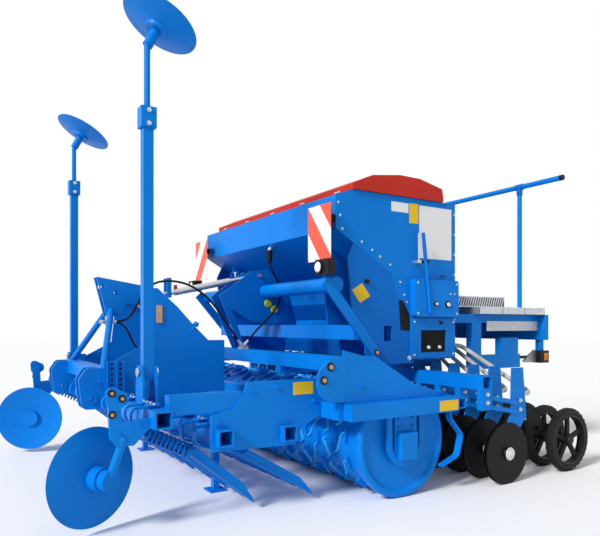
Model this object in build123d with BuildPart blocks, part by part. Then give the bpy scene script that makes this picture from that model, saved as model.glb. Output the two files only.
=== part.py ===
"""Seed drill combination: front tool, tooth roller, hopper and disc coulters.

Millimetres. +X points forward to the tractor, +Y to the machine's left, +Z up.
The origin is on the floor, under the middle of the roller's axle.
"""

from build123d import *
from math import cos, radians, sin, tan
import os

os.makedirs("parts", exist_ok=True)

# Clearances and plate thicknesses
fit = 0.3
plate_t = 12.0

# Front tool: square cross tubes, open at both ends
tube = 80.0
tube_wall = 8.0
tube_half = 1200.0
# columns: x, z of each tube's centre
front_tube = (1290.0, 510.0)
middle_tube = (990.0, 400.0)
rear_tube = (640.0, 390.0)
side_plate_y = tube_half - 50.0
inner_plate_y = 350.0

# Spring tines
tine_width = 37.0
tine_t = 10.0
tine_loop = 70.0
tine_bend_r = 28.0
front_tip = (785.0, 46.0)
rear_tip = (445.0, 40.0)
# places along one half of each row, mirrored on the other half
front_tine_y = (90.0, 275.0, 560.0, 745.0, 960.0, 1060.0)
rear_tine_y = (100.0, 285.0, 430.0, 565.0, 725.0, 905.0, 1075.0)

# Roller
roller_r = 300.0
drum_r = 276.0
roller_half = 1310.0
roller_recess = 18.0
roller_rim = 30.0
roller_edge = 12.0
ring_pitch = 131.0
ring_end = 60.0
ring_count = 2 * int((roller_half - ring_end) / ring_pitch) + 1
ring_t = 14.0
teeth_per_ring = 12
axle_r = 30.0
axle_reach = 30.0
arm_gap = 6.0
arm_w = 70.0
arm_h = 83.0
arm_z = 492.0
arm_front = 402.0
arm_rear = -341.0

# Front discs
disc_r = 225.0
disc_t = 6.0
disc_dish = 28.0
disc_x = 1547.0
disc_y = tube_half - 215.0
disc_lift = 25.0
disc_toe = 23.0
disc_arm_y = tube_half - 100.0

# Marker arms and their discs
marker_x = 1262.0
marker_y = tube_half - 331.0
marker_pivot_z = 700.0
marker_low_top = 1960.0
marker_low_size = 50.0
marker_rod_r = 15.0
marker_disc_z_left = 2390.0
marker_disc_z_right = 2335.0
marker_disc_back = 50.0
marker_disc_r = 195.0
marker_toe = 27.0

# Three-point hitch
# bores: lower ones for 28 mm pins, top ones for 25.4 mm pins
lower_bore_r = 14.25
lower_half_span = 412.0
lower_bore = (1430.0, 535.0)
top_bore_r = 12.95
top_bores = ((1195.0, 1130.0), (1275.0, 1165.0))
boss_rim = 12.0

# Hopper
hopper_half = 934.0
hopper_wall = 4.0
rim_z = 1728.0
lid_overhang = 14.0
lid_rear = -672.0

# Coulters
row_count = 18
row_pitch = 1000.0 / 6
coulter_r = 180.0
coulter_x = -700.0
coulter_gap = 22.0
coulter_t = 4.0
wheel_r = 200.0
wheel_w = 52.0
wheel_x = -1290.0
rail = 80.0
rail_x = -518.0
rail_z = 602.0
rail_end = 20.0
rail_half = (row_count - 1) / 2 * row_pitch + rail_end

# Platform and handrail
step_half = 930.0
step_x = (-1290.0, -800.0)
step_top = 1125.0
platform_half = 1000.0
platform_x = (-1650.0, -960.0)
platform_z = (1005.0, 1052.0)
handrail_x = -1600.0
handrail_z = 1966.0
handrail_half = 1180.0
handrail_post_y = 820.0


def plate(points, y_low, thickness, mode=Mode.ADD):
    """Plate parallel to the machine's side, from its outline in X and Z."""
    with BuildSketch(Plane.XZ.offset(-y_low - thickness)) as outline:
        with BuildLine():
            Polyline(*points, close=True)
        make_face()
    extrude(outline.sketch, amount=thickness, mode=mode)


def wall(points, x_low, thickness, mode=Mode.ADD):
    """Plate across the machine, from its outline in Y and Z."""
    with BuildSketch(Plane.YZ.offset(x_low)) as outline:
        with BuildLine():
            Polyline(*points, close=True)
        make_face()
    extrude(outline.sketch, amount=thickness, mode=mode)


def block(x, y, z, mode=Mode.ADD):
    """Box between two values along each axis."""
    with BuildSketch(Plane.XY.offset(z[0])) as base:
        with Locations(((x[0] + x[1]) / 2, (y[0] + y[1]) / 2)):
            Rectangle(x[1] - x[0], y[1] - y[0])
    extrude(base.sketch, amount=z[1] - z[0], mode=mode)


def rod(start, end, radius, mode=Mode.ADD):
    """Round bar from one point to another."""
    way = Vector(*end) - Vector(*start)
    with BuildSketch(Plane(origin=start, z_dir=way)) as section:
        Circle(radius)
    extrude(section.sketch, amount=way.length, mode=mode)


def bar(start, end, width, height, mode=Mode.ADD):
    """Flat bar from one point to another, its width along Y."""
    way = Vector(*end) - Vector(*start)
    across = Vector(0, 1, 0) if abs(way.normalized().Y) < 0.9 else Vector(1, 0, 0)
    with BuildSketch(Plane(origin=start, x_dir=across, z_dir=way)) as section:
        Rectangle(width, height)
    extrude(section.sketch, amount=way.length, mode=mode)


def beam(x, z, size, thickness, y_from, y_to):
    """Square tube along Y, open at both ends."""
    with BuildSketch(Plane.XZ.offset(-y_to)) as section:
        with Locations((x, z)):
            Rectangle(size, size)
            Rectangle(size - 2 * thickness, size - 2 * thickness, mode=Mode.SUBTRACT)
    extrude(section.sketch, amount=y_to - y_from)


def save(part, name):
    """Label a finished piece and write it."""
    part.label = name
    export_step(part, f"parts/{name}.step")


# Cross tubes of the front tool
with BuildPart() as cross_tubes:
    for x, z in (front_tube, middle_tube, rear_tube):
        beam(x, z, tube, tube_wall, -tube_half, tube_half)
save(cross_tubes.part, "cross_tubes")


# Side plates, pierced by the middle and rear tubes
side_plate_outline = [
    (433.3, 655.0),
    (864.0, 655.0),
    (884.0, 592.0),
    (940.0, 530.0),
    (1052.0, 505.0),
    (1052.0, 335.0),
    (590.0, 325.0),
    (560.0, 400.0),
    (433.3, 470.0),
]
with BuildPart() as side_plates:
    plate(side_plate_outline, side_plate_y, plate_t)
    for x, z in (middle_tube, rear_tube):
        block(
            (x - tube / 2 - fit, x + tube / 2 + fit),
            (side_plate_y - 1, side_plate_y + plate_t + 1),
            (z - tube / 2 - fit, z + tube / 2 + fit),
            mode=Mode.SUBTRACT,
        )
    mirror(about=Plane.XZ)
save(side_plates.part, "side_plates")


# Fore-and-aft beams between the front tube and the side plates
side_beam_w = 60.0
side_beam_z = (520.0, 610.0)
with BuildPart() as side_beams:
    block(
        (885.0, front_tube[0] - tube / 2 - fit),
        (side_plate_y - side_beam_w - fit, side_plate_y - fit),
        side_beam_z,
    )
    mirror(about=Plane.XZ)
save(side_beams.part, "side_beams")


# Tower plates that carry the headstock and the drill's coupling
tower_outline = [
    (1330.0, front_tube[1] + tube / 2 + fit),
    (1330.0, 705.0),
    (1122.0, 815.0),
    (1085.0, 1145.0),
    (1040.0, 1145.0),
    (918.0, 1037.0),
    (824.0, 936.0),
    (723.0, 838.0),
    (616.0, 838.0),
    (616.0, rear_tube[1] + tube / 2 + fit),
    (700.0, rear_tube[1] + tube / 2 + fit),
    (760.0, middle_tube[1] + tube / 2 + fit),
    (1100.0, middle_tube[1] + tube / 2 + fit),
    (1100.0, front_tube[1] + tube / 2 + fit),
]
with BuildPart() as tower_plates:
    plate(tower_outline, inner_plate_y, plate_t)
    mirror(about=Plane.XZ)
save(tower_plates.part, "tower_plates")


# Headstock: lower beam, A-shaped struts and the top-link ears
ear_t = 15.0
ear_gap = 54.0
ear_outline = [
    (1310.0, 1222.0),
    (1010.0, 1175.0),
    (1010.0, 1060.0),
    (1130.0, 1060.0),
    (1190.0, 985.0),
    (1250.0, 985.0),
]
headbeam_x = (1330.0 + fit, 1400.0)
headbeam_z = (620.0, 700.0)
strut_bar_r = 19.0
cross_plate_x = (1010.0, 1030.0)
cross_plate_z = (1070.0, 1112.0)
with BuildPart() as headstock:
    block(headbeam_x, (-470.0, 470.0), headbeam_z)
    for side in (1, -1):
        low = min(side * ear_gap / 2, side * (ear_gap / 2 + ear_t))
        plate(ear_outline, low, ear_t)
        rod((1225.0, side * 45.0, 1020.0), (1365.0, side * 430.0, 685.0), strut_bar_r)
    block(cross_plate_x, (-inner_plate_y + fit, inner_plate_y - fit), cross_plate_z)
    for x, z in top_bores:
        rod((x, -80.0, z), (x, 80.0, z), top_bore_r, mode=Mode.SUBTRACT)
save(headstock.part, "headstock")


# Lower hitch brackets: two rounded plates each side, with a boss round each bore
hitch_plate_t = 15.0
hitch_gap = 66.0
boss_h = 6.0
with BuildPart() as hitch_brackets:
    for side in (1, -1):
        for outward in (-1, 1):
            y_mid = side * lower_half_span + outward * (hitch_gap + hitch_plate_t) / 2
            with BuildSketch(Plane.XZ.offset(-y_mid - hitch_plate_t / 2)) as outline:
                with BuildLine():
                    Polyline(
                        (headbeam_x[0], headbeam_z[0] - fit),
                        (headbeam_x[0], 480.0),
                        (1480.0, 480.0),
                        (1500.0, 640.0),
                        (1460.0, 700.0),
                        (headbeam_x[1] + fit, 700.0),
                        (headbeam_x[1] + fit, headbeam_z[0] - fit),
                        close=True,
                    )
                make_face()
                corners = outline.vertices().filter_by(lambda v: v.X > headbeam_x[1] + 1)
                fillet(corners, radius=30.0)
            extrude(outline.sketch, amount=hitch_plate_t)
            face_y = y_mid + outward * hitch_plate_t / 2
            x, z = lower_bore
            rod((x, face_y, z), (x, face_y + outward * boss_h, z), lower_bore_r + boss_rim)
        y = side * lower_half_span
        rod((x, y - hitch_gap, z), (x, y + hitch_gap, z), lower_bore_r, mode=Mode.SUBTRACT)
save(hitch_brackets.part, "hitch_brackets")


# One row of spring tines: a loop round the front of its tube, then a long flat share
def tine_row(tube_at, bends, tip, places):
    top = tube_at[1] + tube / 2 + tine_t / 2 + fit
    front = tube_at[0] + tube / 2 + tine_loop
    path_points = [(tube_at[0] - 25.0, 0.0, top), (front, 0.0, top)]
    path_points += [(tube_at[0] + along, 0.0, tube_at[1] + up) for along, up in bends]
    path_points.append((tip[0], 0.0, tip[1]))
    with BuildPart() as tine:
        with BuildLine() as path:
            FilletPolyline(*path_points, radius=tine_bend_r)
        with BuildSketch(Plane(origin=path_points[0], x_dir=(0, 1, 0), z_dir=(1, 0, 0))) as section:
            Rectangle(tine_width, tine_t)
        sweep(section.sketch, path=path.line)
    with BuildPart() as row:
        add([tine.part.moved(Location((0, side * y, 0))) for y in places if y < tube_half - tine_width
             for side in (1, -1)])
    return row.part


# bends: forward of and above the tube's centre
front_bends = ((tube / 2 + tine_loop, -10.0), (-140.0, -165.0))
rear_bends = ((tube / 2 + tine_loop, -38.0), (-110.0, -100.0))
save(tine_row(front_tube, front_bends, front_tip, front_tine_y), "tines_front")
save(tine_row(middle_tube, rear_bends, rear_tip, rear_tine_y), "tines_rear")


# Front disc: dished blade and hub, on an axle toed in from the machine's side
def disc_plane(side):
    away = radians(disc_toe)
    normal = Vector(-sin(away), side * cos(away), 0)
    return Plane(origin=(disc_x, side * disc_y, disc_r + disc_lift), x_dir=(0, 0, 1), z_dir=normal)


hub_r = 55.0
hub_length = 60.0
hub_bore_r = 20.0


def front_disc(side):
    with BuildPart() as disc:
        with BuildSketch(Plane.XZ) as profile:
            with BuildLine():
                Polyline((0, disc_dish), (hub_r + 12, disc_dish), (0.7 * disc_r, 0.55 * disc_dish), (disc_r, 0),
                         (disc_r - 3, -disc_t), (0.7 * disc_r, 0.55 * disc_dish - disc_t),
                         (hub_r + 12, disc_dish - disc_t), (0, disc_dish - disc_t), close=True)
            make_face()
        revolve(profile.sketch, axis=Axis.Z)
        with BuildSketch(Plane.XY) as hub:
            Circle(hub_r)
        extrude(hub.sketch, amount=disc_dish + hub_length)
        with BuildSketch(Plane.XY.offset(disc_dish)) as bore:
            Circle(hub_bore_r)
        extrude(bore.sketch, amount=hub_length, mode=Mode.SUBTRACT)
    return disc.part.moved(disc_plane(side).location)


save(front_disc(1), "front_disc_left")
save(front_disc(-1), "front_disc_right")


# Arms that carry the front discs
with BuildPart() as disc_arms:
    for side in (1, -1):
        seat = disc_plane(side)
        hub_end = seat.origin + seat.z_dir * (disc_dish + hub_length + 4)
        with BuildSketch(Plane(origin=seat.origin + seat.z_dir * (disc_dish + 8), x_dir=(0, 0, 1),
                               z_dir=seat.z_dir)) as pin:
            Circle(hub_bore_r - fit)
        extrude(pin.sketch, amount=hub_length + 4)
        with BuildSketch(Plane(origin=hub_end, x_dir=(0, 0, 1), z_dir=seat.z_dir)) as cap:
            Circle(hub_r - 8)
        extrude(cap.sketch, amount=44)
        start = hub_end + seat.z_dir * 25
        rod(tuple(start), (1440.0, side * (disc_arm_y + 12), 440.0), 19.0)
        low = min(side * disc_arm_y, side * (disc_arm_y + 25))
        plate([(1330.0 + fit, 470.0), (1400.0, 400.0), (1475.0, 400.0), (1502.0, 435.0),
               (1512.0, 585.0), (1490.0, 620.0), (1462.0, 620.0), (1455.0, 505.0),
               (1330.0 + fit, 515.0)], low, 25.0)
save(disc_arms.part, "disc_arms")


# Marker arms: a square lower tube and a round upper rod, folded upright
pivot_r = 14.0
marker_pin_r = 12.0


def marker_spot(side):
    z = marker_disc_z_left if side > 0 else marker_disc_z_right
    return Vector(marker_x - marker_disc_back, side * marker_y, z)


def marker_arm(side):
    y = side * marker_y
    spot = marker_spot(side)
    half = marker_low_size / 2
    with BuildPart() as arm:
        block((marker_x - half, marker_x + half), (y - half, y + half), (marker_pivot_z - 35, marker_low_top))
        rod((marker_x, y, marker_low_top - 5), (marker_x, y, spot.Z - 74), marker_rod_r)
        rod((marker_x - 60, y, marker_pivot_z), (marker_x + 60, y, marker_pivot_z), pivot_r + fit,
            mode=Mode.SUBTRACT)
        block((marker_x - 38, marker_x + 38), (y - 34, y + 34), (marker_low_top - 70, marker_low_top + 30))
        axis = marker_axis(side)
        hub_point = spot + axis * 20
        rod(tuple(hub_point), tuple(hub_point + axis * 86), 25.0)
        rod(tuple(hub_point - axis * (20 - fit)), tuple(hub_point), marker_pin_r)
    return arm.part


def marker_axis(side):
    away = radians(marker_toe)
    return Vector(sin(away), 0, -cos(away))


save(marker_arm(1), "marker_arm_left")
save(marker_arm(-1), "marker_arm_right")


# Marker discs: shallow cones that turn on the hubs at the arms' ends
def marker_disc(side):
    axis = marker_axis(side)
    with BuildPart() as disc:
        with BuildSketch(Plane.XZ) as profile:
            with BuildLine():
                Polyline((0, -6), (60, -6), (marker_disc_r, -36), (marker_disc_r, -32), (60, 0), (55, 16),
                         (marker_pin_r + fit, 16), (marker_pin_r + fit, 0), (0, 0), close=True)
            make_face()
        revolve(profile.sketch, axis=Axis.Z)
    spot = Plane(origin=marker_spot(side), x_dir=(0, 1, 0), z_dir=axis)
    return disc.part.moved(spot.location)


save(marker_disc(1), "marker_disc_left")
save(marker_disc(-1), "marker_disc_right")


# Brackets and pins that the marker arms fold on
with BuildPart() as marker_brackets:
    for side in (1, -1):
        y = side * marker_y
        gap = marker_low_size / 2 + 2
        for x_low in (marker_x - gap - 12, marker_x + gap):
            wall([(y - 60, front_tube[1] + tube / 2 + fit), (y + 60, front_tube[1] + tube / 2 + fit),
                  (y + 60, marker_pivot_z - 60), (y + 30, marker_pivot_z + 32),
                  (y - 30, marker_pivot_z + 32), (y - 60, marker_pivot_z - 60)], x_low, 12.0)
        rod((marker_x - gap - 20, y, marker_pivot_z), (marker_x + gap + 20, y, marker_pivot_z), pivot_r)
save(marker_brackets.part, "marker_brackets")


# Parking stands: square legs with a foot plate, sliding in sockets on the middle tube
stand_x = 800.0
stand_y = 640.0
leg = 36.0
foot_gap = 2.0
socket_wall = 6.0


def stand(side):
    y = side * stand_y
    with BuildPart() as piece:
        block((stand_x - leg / 2, stand_x + leg / 2), (y - leg / 2, y + leg / 2), (foot_gap, 560.0))
        block((stand_x - 50, stand_x + 50), (y - 50, y + 50), (foot_gap, foot_gap + 8))
        block((stand_x - leg / 2 - 12, stand_x + leg / 2 + 12), (y - leg / 2, y + leg / 2), (545.0, 560.0))
    return piece.part


save(stand(1), "stand_left")
save(stand(-1), "stand_right")

with BuildPart() as stand_sockets:
    for side in (1, -1):
        y = side * stand_y
        inner = leg / 2 + 0.5
        outer = inner + socket_wall
        block((stand_x - outer, stand_x + outer), (y - outer, y + outer), (380.0, 543.0))
        block((stand_x - inner, stand_x + inner), (y - inner, y + inner), (370.0, 550.0), mode=Mode.SUBTRACT)
        block((stand_x + outer - 0.5, middle_tube[0] - tube / 2 - fit), (y - 20, y + 20), (380.0, 430.0))
save(stand_sockets.part, "stand_sockets")


# Roller: drum with dished ends and rings of teeth
def tooth_ring():
    step = 360.0 / teeth_per_ring
    points = []
    for number in range(teeth_per_ring):
        for turn, radius in ((0.0, drum_r - 4), (0.06, roller_r), (0.5, roller_r), (0.56, drum_r - 4)):
            angle = radians(step * (number + turn))
            points.append((radius * cos(angle), radius * sin(angle)))
    with BuildPart() as ring:
        with BuildSketch(Plane.XZ) as outline:
            with BuildLine():
                Polyline(*points, close=True)
            make_face()
        extrude(outline.sketch, amount=ring_t / 2, both=True)
    return ring.part


with BuildPart() as roller:
    with BuildSketch(Plane.YZ) as profile:
        with BuildLine():
            Polyline(
                (-roller_half + roller_edge, roller_r),
                (-roller_half + 40, roller_r),
                (-roller_half + 40, drum_r),
                (roller_half - 40, drum_r),
                (roller_half - 40, roller_r),
                (roller_half - roller_edge, roller_r),
                (roller_half, roller_r - roller_edge),
                (roller_half, roller_r - roller_rim),
                (roller_half - roller_recess, roller_r - roller_rim - roller_recess),
                (roller_half - roller_recess, axle_r),
                (roller_half + axle_reach, axle_r),
                (roller_half + axle_reach, 0.0),
                (-roller_half - axle_reach, 0.0),
                (-roller_half - axle_reach, axle_r),
                (-roller_half + roller_recess, axle_r),
                (-roller_half + roller_recess, roller_r - roller_rim - roller_recess),
                (-roller_half, roller_r - roller_rim),
                (-roller_half, roller_r - roller_edge),
                close=True,
            )
        make_face()
    revolve(profile.sketch, axis=Axis.Y)
    ring = tooth_ring()
    add([
        ring.moved(Location((0, (number - (ring_count - 1) / 2) * ring_pitch, 0),
                            (0, 360.0 / teeth_per_ring * (number % 3) / 3, 0)))
        for number in range(ring_count)
    ])
roller_part = roller.part.moved(Location((0, 0, roller_r)))
save(roller_part, "roller")


# Roller arms with the bearing plates outside the roller's ends
arm_y = roller_half + arm_gap
guard_w = 40.0
guard_t = 10.0
guard_bend_r = 35.0
guard_y = arm_y + 35.0
guard_points = (
    (-300.0, guard_y, arm_z - arm_h / 2 + 1),
    (-300.0, guard_y, 410.0),
    (-392.0, guard_y, 310.0),
    (-360.0, guard_y, 195.0),
    (-235.0, guard_y, 150.0),
)
with BuildPart() as roller_arms:
    block((arm_rear, arm_front), (arm_y, arm_y + arm_w), (arm_z - arm_h / 2, arm_z + arm_h / 2))
    plate([(-76.0, arm_z), (76.0, arm_z), (76.0, 240.0), (50.0, 205.0), (-50.0, 205.0), (-76.0, 240.0)],
          arm_y, 14.0)
    rod((0, arm_y - 8, roller_r), (0, arm_y + 45, roller_r), 52.0)
    rod((0, arm_y - 40, roller_r), (0, roller_half + axle_reach + 4, roller_r), axle_r + fit,
        mode=Mode.SUBTRACT)
    with BuildLine() as guard_path:
        FilletPolyline(*guard_points, radius=guard_bend_r)
    with BuildSketch(Plane(origin=guard_points[0], x_dir=(0, 1, 0), z_dir=(0, 0, -1))) as section:
        Rectangle(guard_w, guard_t)
    sweep(section.sketch, path=guard_path.line)
    mirror(about=Plane.XZ)
save(roller_arms.part, "roller_arms")


# Scraper bar behind the roller, with a plate between each two rings of teeth
bar_size = 60.0
bar_x = arm_rear - fit - bar_size / 2
bar_z = arm_z
scraper_gap = 8.0
scraper_w = ring_pitch - ring_t - 2 * scraper_gap
tip_angle = radians(13.0)
tip_r = drum_r + scraper_gap
with BuildPart() as scraper_bar:
    beam(bar_x, bar_z, bar_size, 6.0, -arm_y - arm_w, arm_y + arm_w)
    for number in range(ring_count - 1):
        y = (number - (ring_count - 2) / 2) * ring_pitch
        bar((bar_x + 5, y, bar_z - bar_size / 2 + 2),
            (-tip_r * cos(tip_angle), y, roller_r + tip_r * sin(tip_angle)), scraper_w, 6.0)
save(scraper_bar.part, "scraper_bar")


# Hopper: thin-walled tank with a vertical back and a folded sloping front
hopper_rear = -793.0
hopper_front = 177.0
hopper_outline = [
    (hopper_front, 1685.0),
    (61.0, rim_z),
    (hopper_rear, rim_z),
    (hopper_rear, 974.0),
    (-419.0, 974.0),
    (-303.0, 1085.0),
    (-238.0, 1252.0),
    (hopper_front, 1489.0),
]
with BuildPart() as hopper_shell:
    with BuildSketch(Plane.XZ.offset(-hopper_half + hopper_wall + fit)) as outline:
        with BuildLine():
            Polyline(*hopper_outline, close=True)
        make_face()
        offset(amount=-hopper_wall, kind=Kind.INTERSECTION, mode=Mode.SUBTRACT)
    extrude(outline.sketch, amount=2 * (hopper_half - hopper_wall - fit))
    block((lid_rear + 24, 50.0), (-hopper_half + 30, hopper_half - 30), (rim_z - 60, rim_z + 10),
          mode=Mode.SUBTRACT)
save(hopper_shell.part, "hopper_shell")

with BuildPart() as hopper_ends:
    for y_low in (hopper_half - hopper_wall, -hopper_half):
        plate(hopper_outline, y_low, hopper_wall)
save(hopper_ends.part, "hopper_ends")


# Hopper lid: a flat-topped dome over the filling opening
lid_half = hopper_half + lid_overhang
lid_t = 4.0
lid_low = rim_z + fit
lid_top = (
    (64.0, 33.0),
    (-85.0, 100.0),
    (-298.0, 128.0),
    (-465.0, 126.0),
    (lid_rear + 12.0, 84.0),
    (lid_rear, 22.0),
)


def lid_outline(inset):
    first, last = lid_top[0], lid_top[-1]
    points = [(first[0] - inset, lid_low - inset)]
    points.append((first[0] - inset, lid_low + first[1] - inset / 2))
    points += [(x, lid_low + rise - inset) for x, rise in lid_top[1:-1]]
    points.append((last[0] + inset, lid_low + last[1] - inset))
    points.append((last[0] + inset, lid_low - inset))
    return points


lid_rib_t = 6.0
with BuildPart() as hopper_lid:
    plate(lid_outline(0), -lid_half, 2 * lid_half)
    plate(lid_outline(lid_t), -lid_half + lid_t, 2 * (lid_half - lid_t), mode=Mode.SUBTRACT)
    for y_low in (-lid_half / 3, lid_half / 3 - lid_rib_t):
        plate([(x, lid_low + rise) for x, rise in lid_top[1:-1]]
              + [(x, lid_low + rise - 40) for x, rise in reversed(lid_top[1:-1])], y_low, lid_rib_t)
save(hopper_lid.part, "hopper_lid")


# Metering unit: housing under the tank
meter_front = -427.0
meter_z = (711.0, 974.0 - fit)
with BuildPart() as metering_unit:
    block((hopper_rear, meter_front), (-hopper_half, hopper_half), meter_z)
save(metering_unit.part, "metering_unit")


# Drive covers on the left end: a raised box above, a framed door below
cover_x = (-776.0, -396.0)
cover_z = (983.0, 1218.0)
cover_depth = 48.0
door_z = (720.0, 972.0)
door_depth = 16.0
window_x = (-693.0, -472.0)
window_z = (755.0, 898.0)
with BuildPart() as drive_covers:
    for z, depth in ((cover_z, cover_depth), (door_z, door_depth)):
        with BuildSketch(Plane.XZ.offset(-hopper_half - fit - depth)) as outline:
            with Locations(((cover_x[0] + cover_x[1]) / 2, (z[0] + z[1]) / 2)):
                RectangleRounded(cover_x[1] - cover_x[0], z[1] - z[0], 18.0)
        extrude(outline.sketch, amount=depth)
    block(window_x, (hopper_half + fit + 4, hopper_half + fit + door_depth + 1), window_z, mode=Mode.SUBTRACT)
save(drive_covers.part, "drive_covers")


# Roller frame: cross tube between the arms' front ends
frame_tube_x = (353.0, 433.0)
frame_tube_z = (arm_z - arm_h / 2, arm_z + arm_h / 2)
with BuildPart() as roller_tube:
    block(frame_tube_x, (-arm_y + fit, arm_y - fit), frame_tube_z)
save(roller_tube.part, "roller_tube")


# Gussets that stand on the roller arms and carry the drill
arm_top = arm_z + arm_h / 2 + fit
gusset_outline = [
    (arm_front - 4, arm_top),
    (arm_front - 4, 660.0),
    (413.0, 804.0),
    (300.0, 775.0),
    (207.0, 768.0),
    (-57.0, 614.0),
    (-323.0, arm_top + 4),
    (-323.0, arm_top),
]
with BuildPart() as gussets:
    plate(gusset_outline, arm_y, plate_t)
    mirror(about=Plane.XZ)
save(gussets.part, "gussets")


# Drill frame: beams across and along the machine under the tank
upper_beam_x = (-40.0, 50.0)
upper_beam_z = (843.0, 930.0)
front_beam_x = (320.0, 410.0)
front_beam_z = (690.0, 768.0)
rail_top = rail_z + rail / 2
drill_rail_y = (640.0, 700.0)
with BuildPart() as drill_beams:
    block(upper_beam_x, (-hopper_half, hopper_half), upper_beam_z)
    block(front_beam_x, (-arm_y + fit, arm_y - fit), front_beam_z)
save(drill_beams.part, "drill_beams")

with BuildPart() as drill_rails:
    block((-900.0, front_beam_x[1]), drill_rail_y, (rail_top + fit, front_beam_z[0] - fit))
    mirror(about=Plane.XZ)
save(drill_rails.part, "drill_rails")


# Feet of the tank: two inner plates that stand on the rails, two outer ones at the tank's ends
foot_y = drill_rail_y[0] + 20.0
outer_foot_y = hopper_half - plate_t
seat_drop = 0.6
foot_outline = [
    (meter_front + fit, front_beam_z[0]),
    (meter_front + fit, 974.0 - seat_drop),
    (-419.0, 974.0 - seat_drop),
    (-303.0, 1085.0 - seat_drop),
    (-238.0, 1252.0 - 2 * seat_drop),
    (50.0, 1416.0 - seat_drop),
    (90.0, 1330.0),
    (50.0, upper_beam_z[1] + fit),
    (upper_beam_x[0] - fit, upper_beam_z[1] + fit),
    (upper_beam_x[0] - fit, 760.0),
    (-90.0, front_beam_z[0]),
]
foot_hole_x = (-246.0, -182.0)
foot_hole_z = (832.0, 924.0)
with BuildPart() as tank_feet:
    plate(foot_outline, foot_y, plate_t)
    plate(foot_outline, outer_foot_y, plate_t)
    block(foot_hole_x, (outer_foot_y - 1, outer_foot_y + plate_t + 1), foot_hole_z, mode=Mode.SUBTRACT)
    mirror(about=Plane.XZ)
save(tank_feet.part, "tank_feet")


# Round cross tube in front of the tank, with the slanted struts down from its ends
cross_at = (168.0, 1165.0)
cross_r = 45.0
strut_t = 16.0
strut_w = 62.0
with BuildPart() as tank_struts:
    rod((cross_at[0], -hopper_half - fit, cross_at[1]), (cross_at[0], hopper_half + fit, cross_at[1]), cross_r)
    for side in (1, -1):
        y = side * (hopper_half + fit + strut_t / 2)
        bar((255.0, y, 1182.0), (-120.0, y, 752.0), strut_t, strut_w)
save(tank_struts.part, "tank_struts")


# Coupling plates: a wide triangle each side of the middle, pierced by the tube and the beam
coupling_y = 60.0
coupling_pin = (215.0, 1275.0)
strut_pin_r = 14.0
coupling_outline = [
    (519.0, 1127.0),
    (276.0, 1302.0),
    (157.0, 1325.0),
    (-17.0, 1185.0),
    (-90.0, upper_beam_z[1] + fit),
    (upper_beam_x[1], upper_beam_z[1] + fit),
    (290.0, 960.0),
    (428.0, 1040.0),
    (front_beam_x[0] + 5.0, front_beam_z[1] + fit),
    (front_beam_x[0] + 38.0, front_beam_z[1] + fit),
]
with BuildPart() as coupling_plates:
    plate(coupling_outline, coupling_y, plate_t)
    mirror(about=Plane.XZ)
    for (x, z), radius in ((cross_at, cross_r + fit), (coupling_pin, strut_pin_r + fit)):
        rod((x, -100.0, z), (x, 100.0, z), radius, mode=Mode.SUBTRACT)
save(coupling_plates.part, "coupling_plates")

# Adjustable top strut: threaded ends in a thicker middle sleeve
strut_front = (1006.0, 1100.0)


def strut_point(share):
    x = strut_front[0] + share * (coupling_pin[0] - strut_front[0])
    z = strut_front[1] + share * (coupling_pin[1] - strut_front[1])
    return (x, 0, z)


with BuildPart() as top_strut:
    rod(strut_point(0), strut_point(1), 14.0)
    rod(strut_point(0.25), strut_point(0.75), 22.0)
    rod(strut_point(0.02), strut_point(0.08), 22.0)
    rod((coupling_pin[0], -40.0, coupling_pin[1]), (coupling_pin[0], 40.0, coupling_pin[1]), 30.0)
    rod((coupling_pin[0], -85.0, coupling_pin[1]), (coupling_pin[0], 85.0, coupling_pin[1]), strut_pin_r)
save(top_strut.part, "top_strut")


# Hose fittings: a rack of couplings under the top-link ears, and sockets at the hoses' far ends
coupling_r = 12.0
coupling_x = (1222.0, 1275.0)
coupling_z = 950.0
coupling_row = (-32.0, 0.0, 32.0)
rack_x = (1236.0, 1242.0)
rack_half = 40.0
rack_z = (925.0, 985.0 - fit)
beam_top = front_beam_z[1] + fit
upper_end = (400.0, 150.0, 808.0)
tank_end = (340.0, 100.0, 800.0)
loop_end = (1004.0, -50.0, 1034.0)
slope = Vector(hopper_front + 238.0, 0, 1489.0 - 1252.0).normalized()
slope_out = Vector(slope.Z, 0, -slope.X)
elbow = Vector(140.0, 100.0, 1252.0 + (140.0 + 238.0) * slope.Z / slope.X) + slope_out * 22.0
tank_start = (elbow.X, elbow.Y, elbow.Z - 28.0)
with BuildPart() as hose_fittings:
    block(rack_x, (-rack_half, rack_half), rack_z)
    for y in coupling_row:
        rod((coupling_x[0], y, coupling_z), (coupling_x[1], y, coupling_z), coupling_r)
    block((352.0, 402.0), (upper_end[1] - 20, upper_end[1] + 20), (beam_top, beam_top + 18))
    rod((380.0, upper_end[1], 783.0), upper_end, coupling_r)
    block((335.0, 385.0), (tank_end[1] - 20, tank_end[1] + 20), (beam_top, beam_top + 16))
    rod((356.7, tank_end[1], 781.0), tank_end, coupling_r)
    block(cross_plate_x, (loop_end[1] - 18, -ear_gap / 2 - ear_t - fit), (cross_plate_z[0] - 18, cross_plate_z[0] - fit))
    rod(loop_end, (loop_end[0] + 14.0, loop_end[1], loop_end[2] + 20.79), coupling_r)
    rod(tuple(elbow - slope_out * (22.0 - fit)), tuple(elbow + slope_out * 8), 16.0)
    rod(tank_start, tuple(elbow), coupling_r)
save(hose_fittings.part, "hose_fittings")


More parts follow.
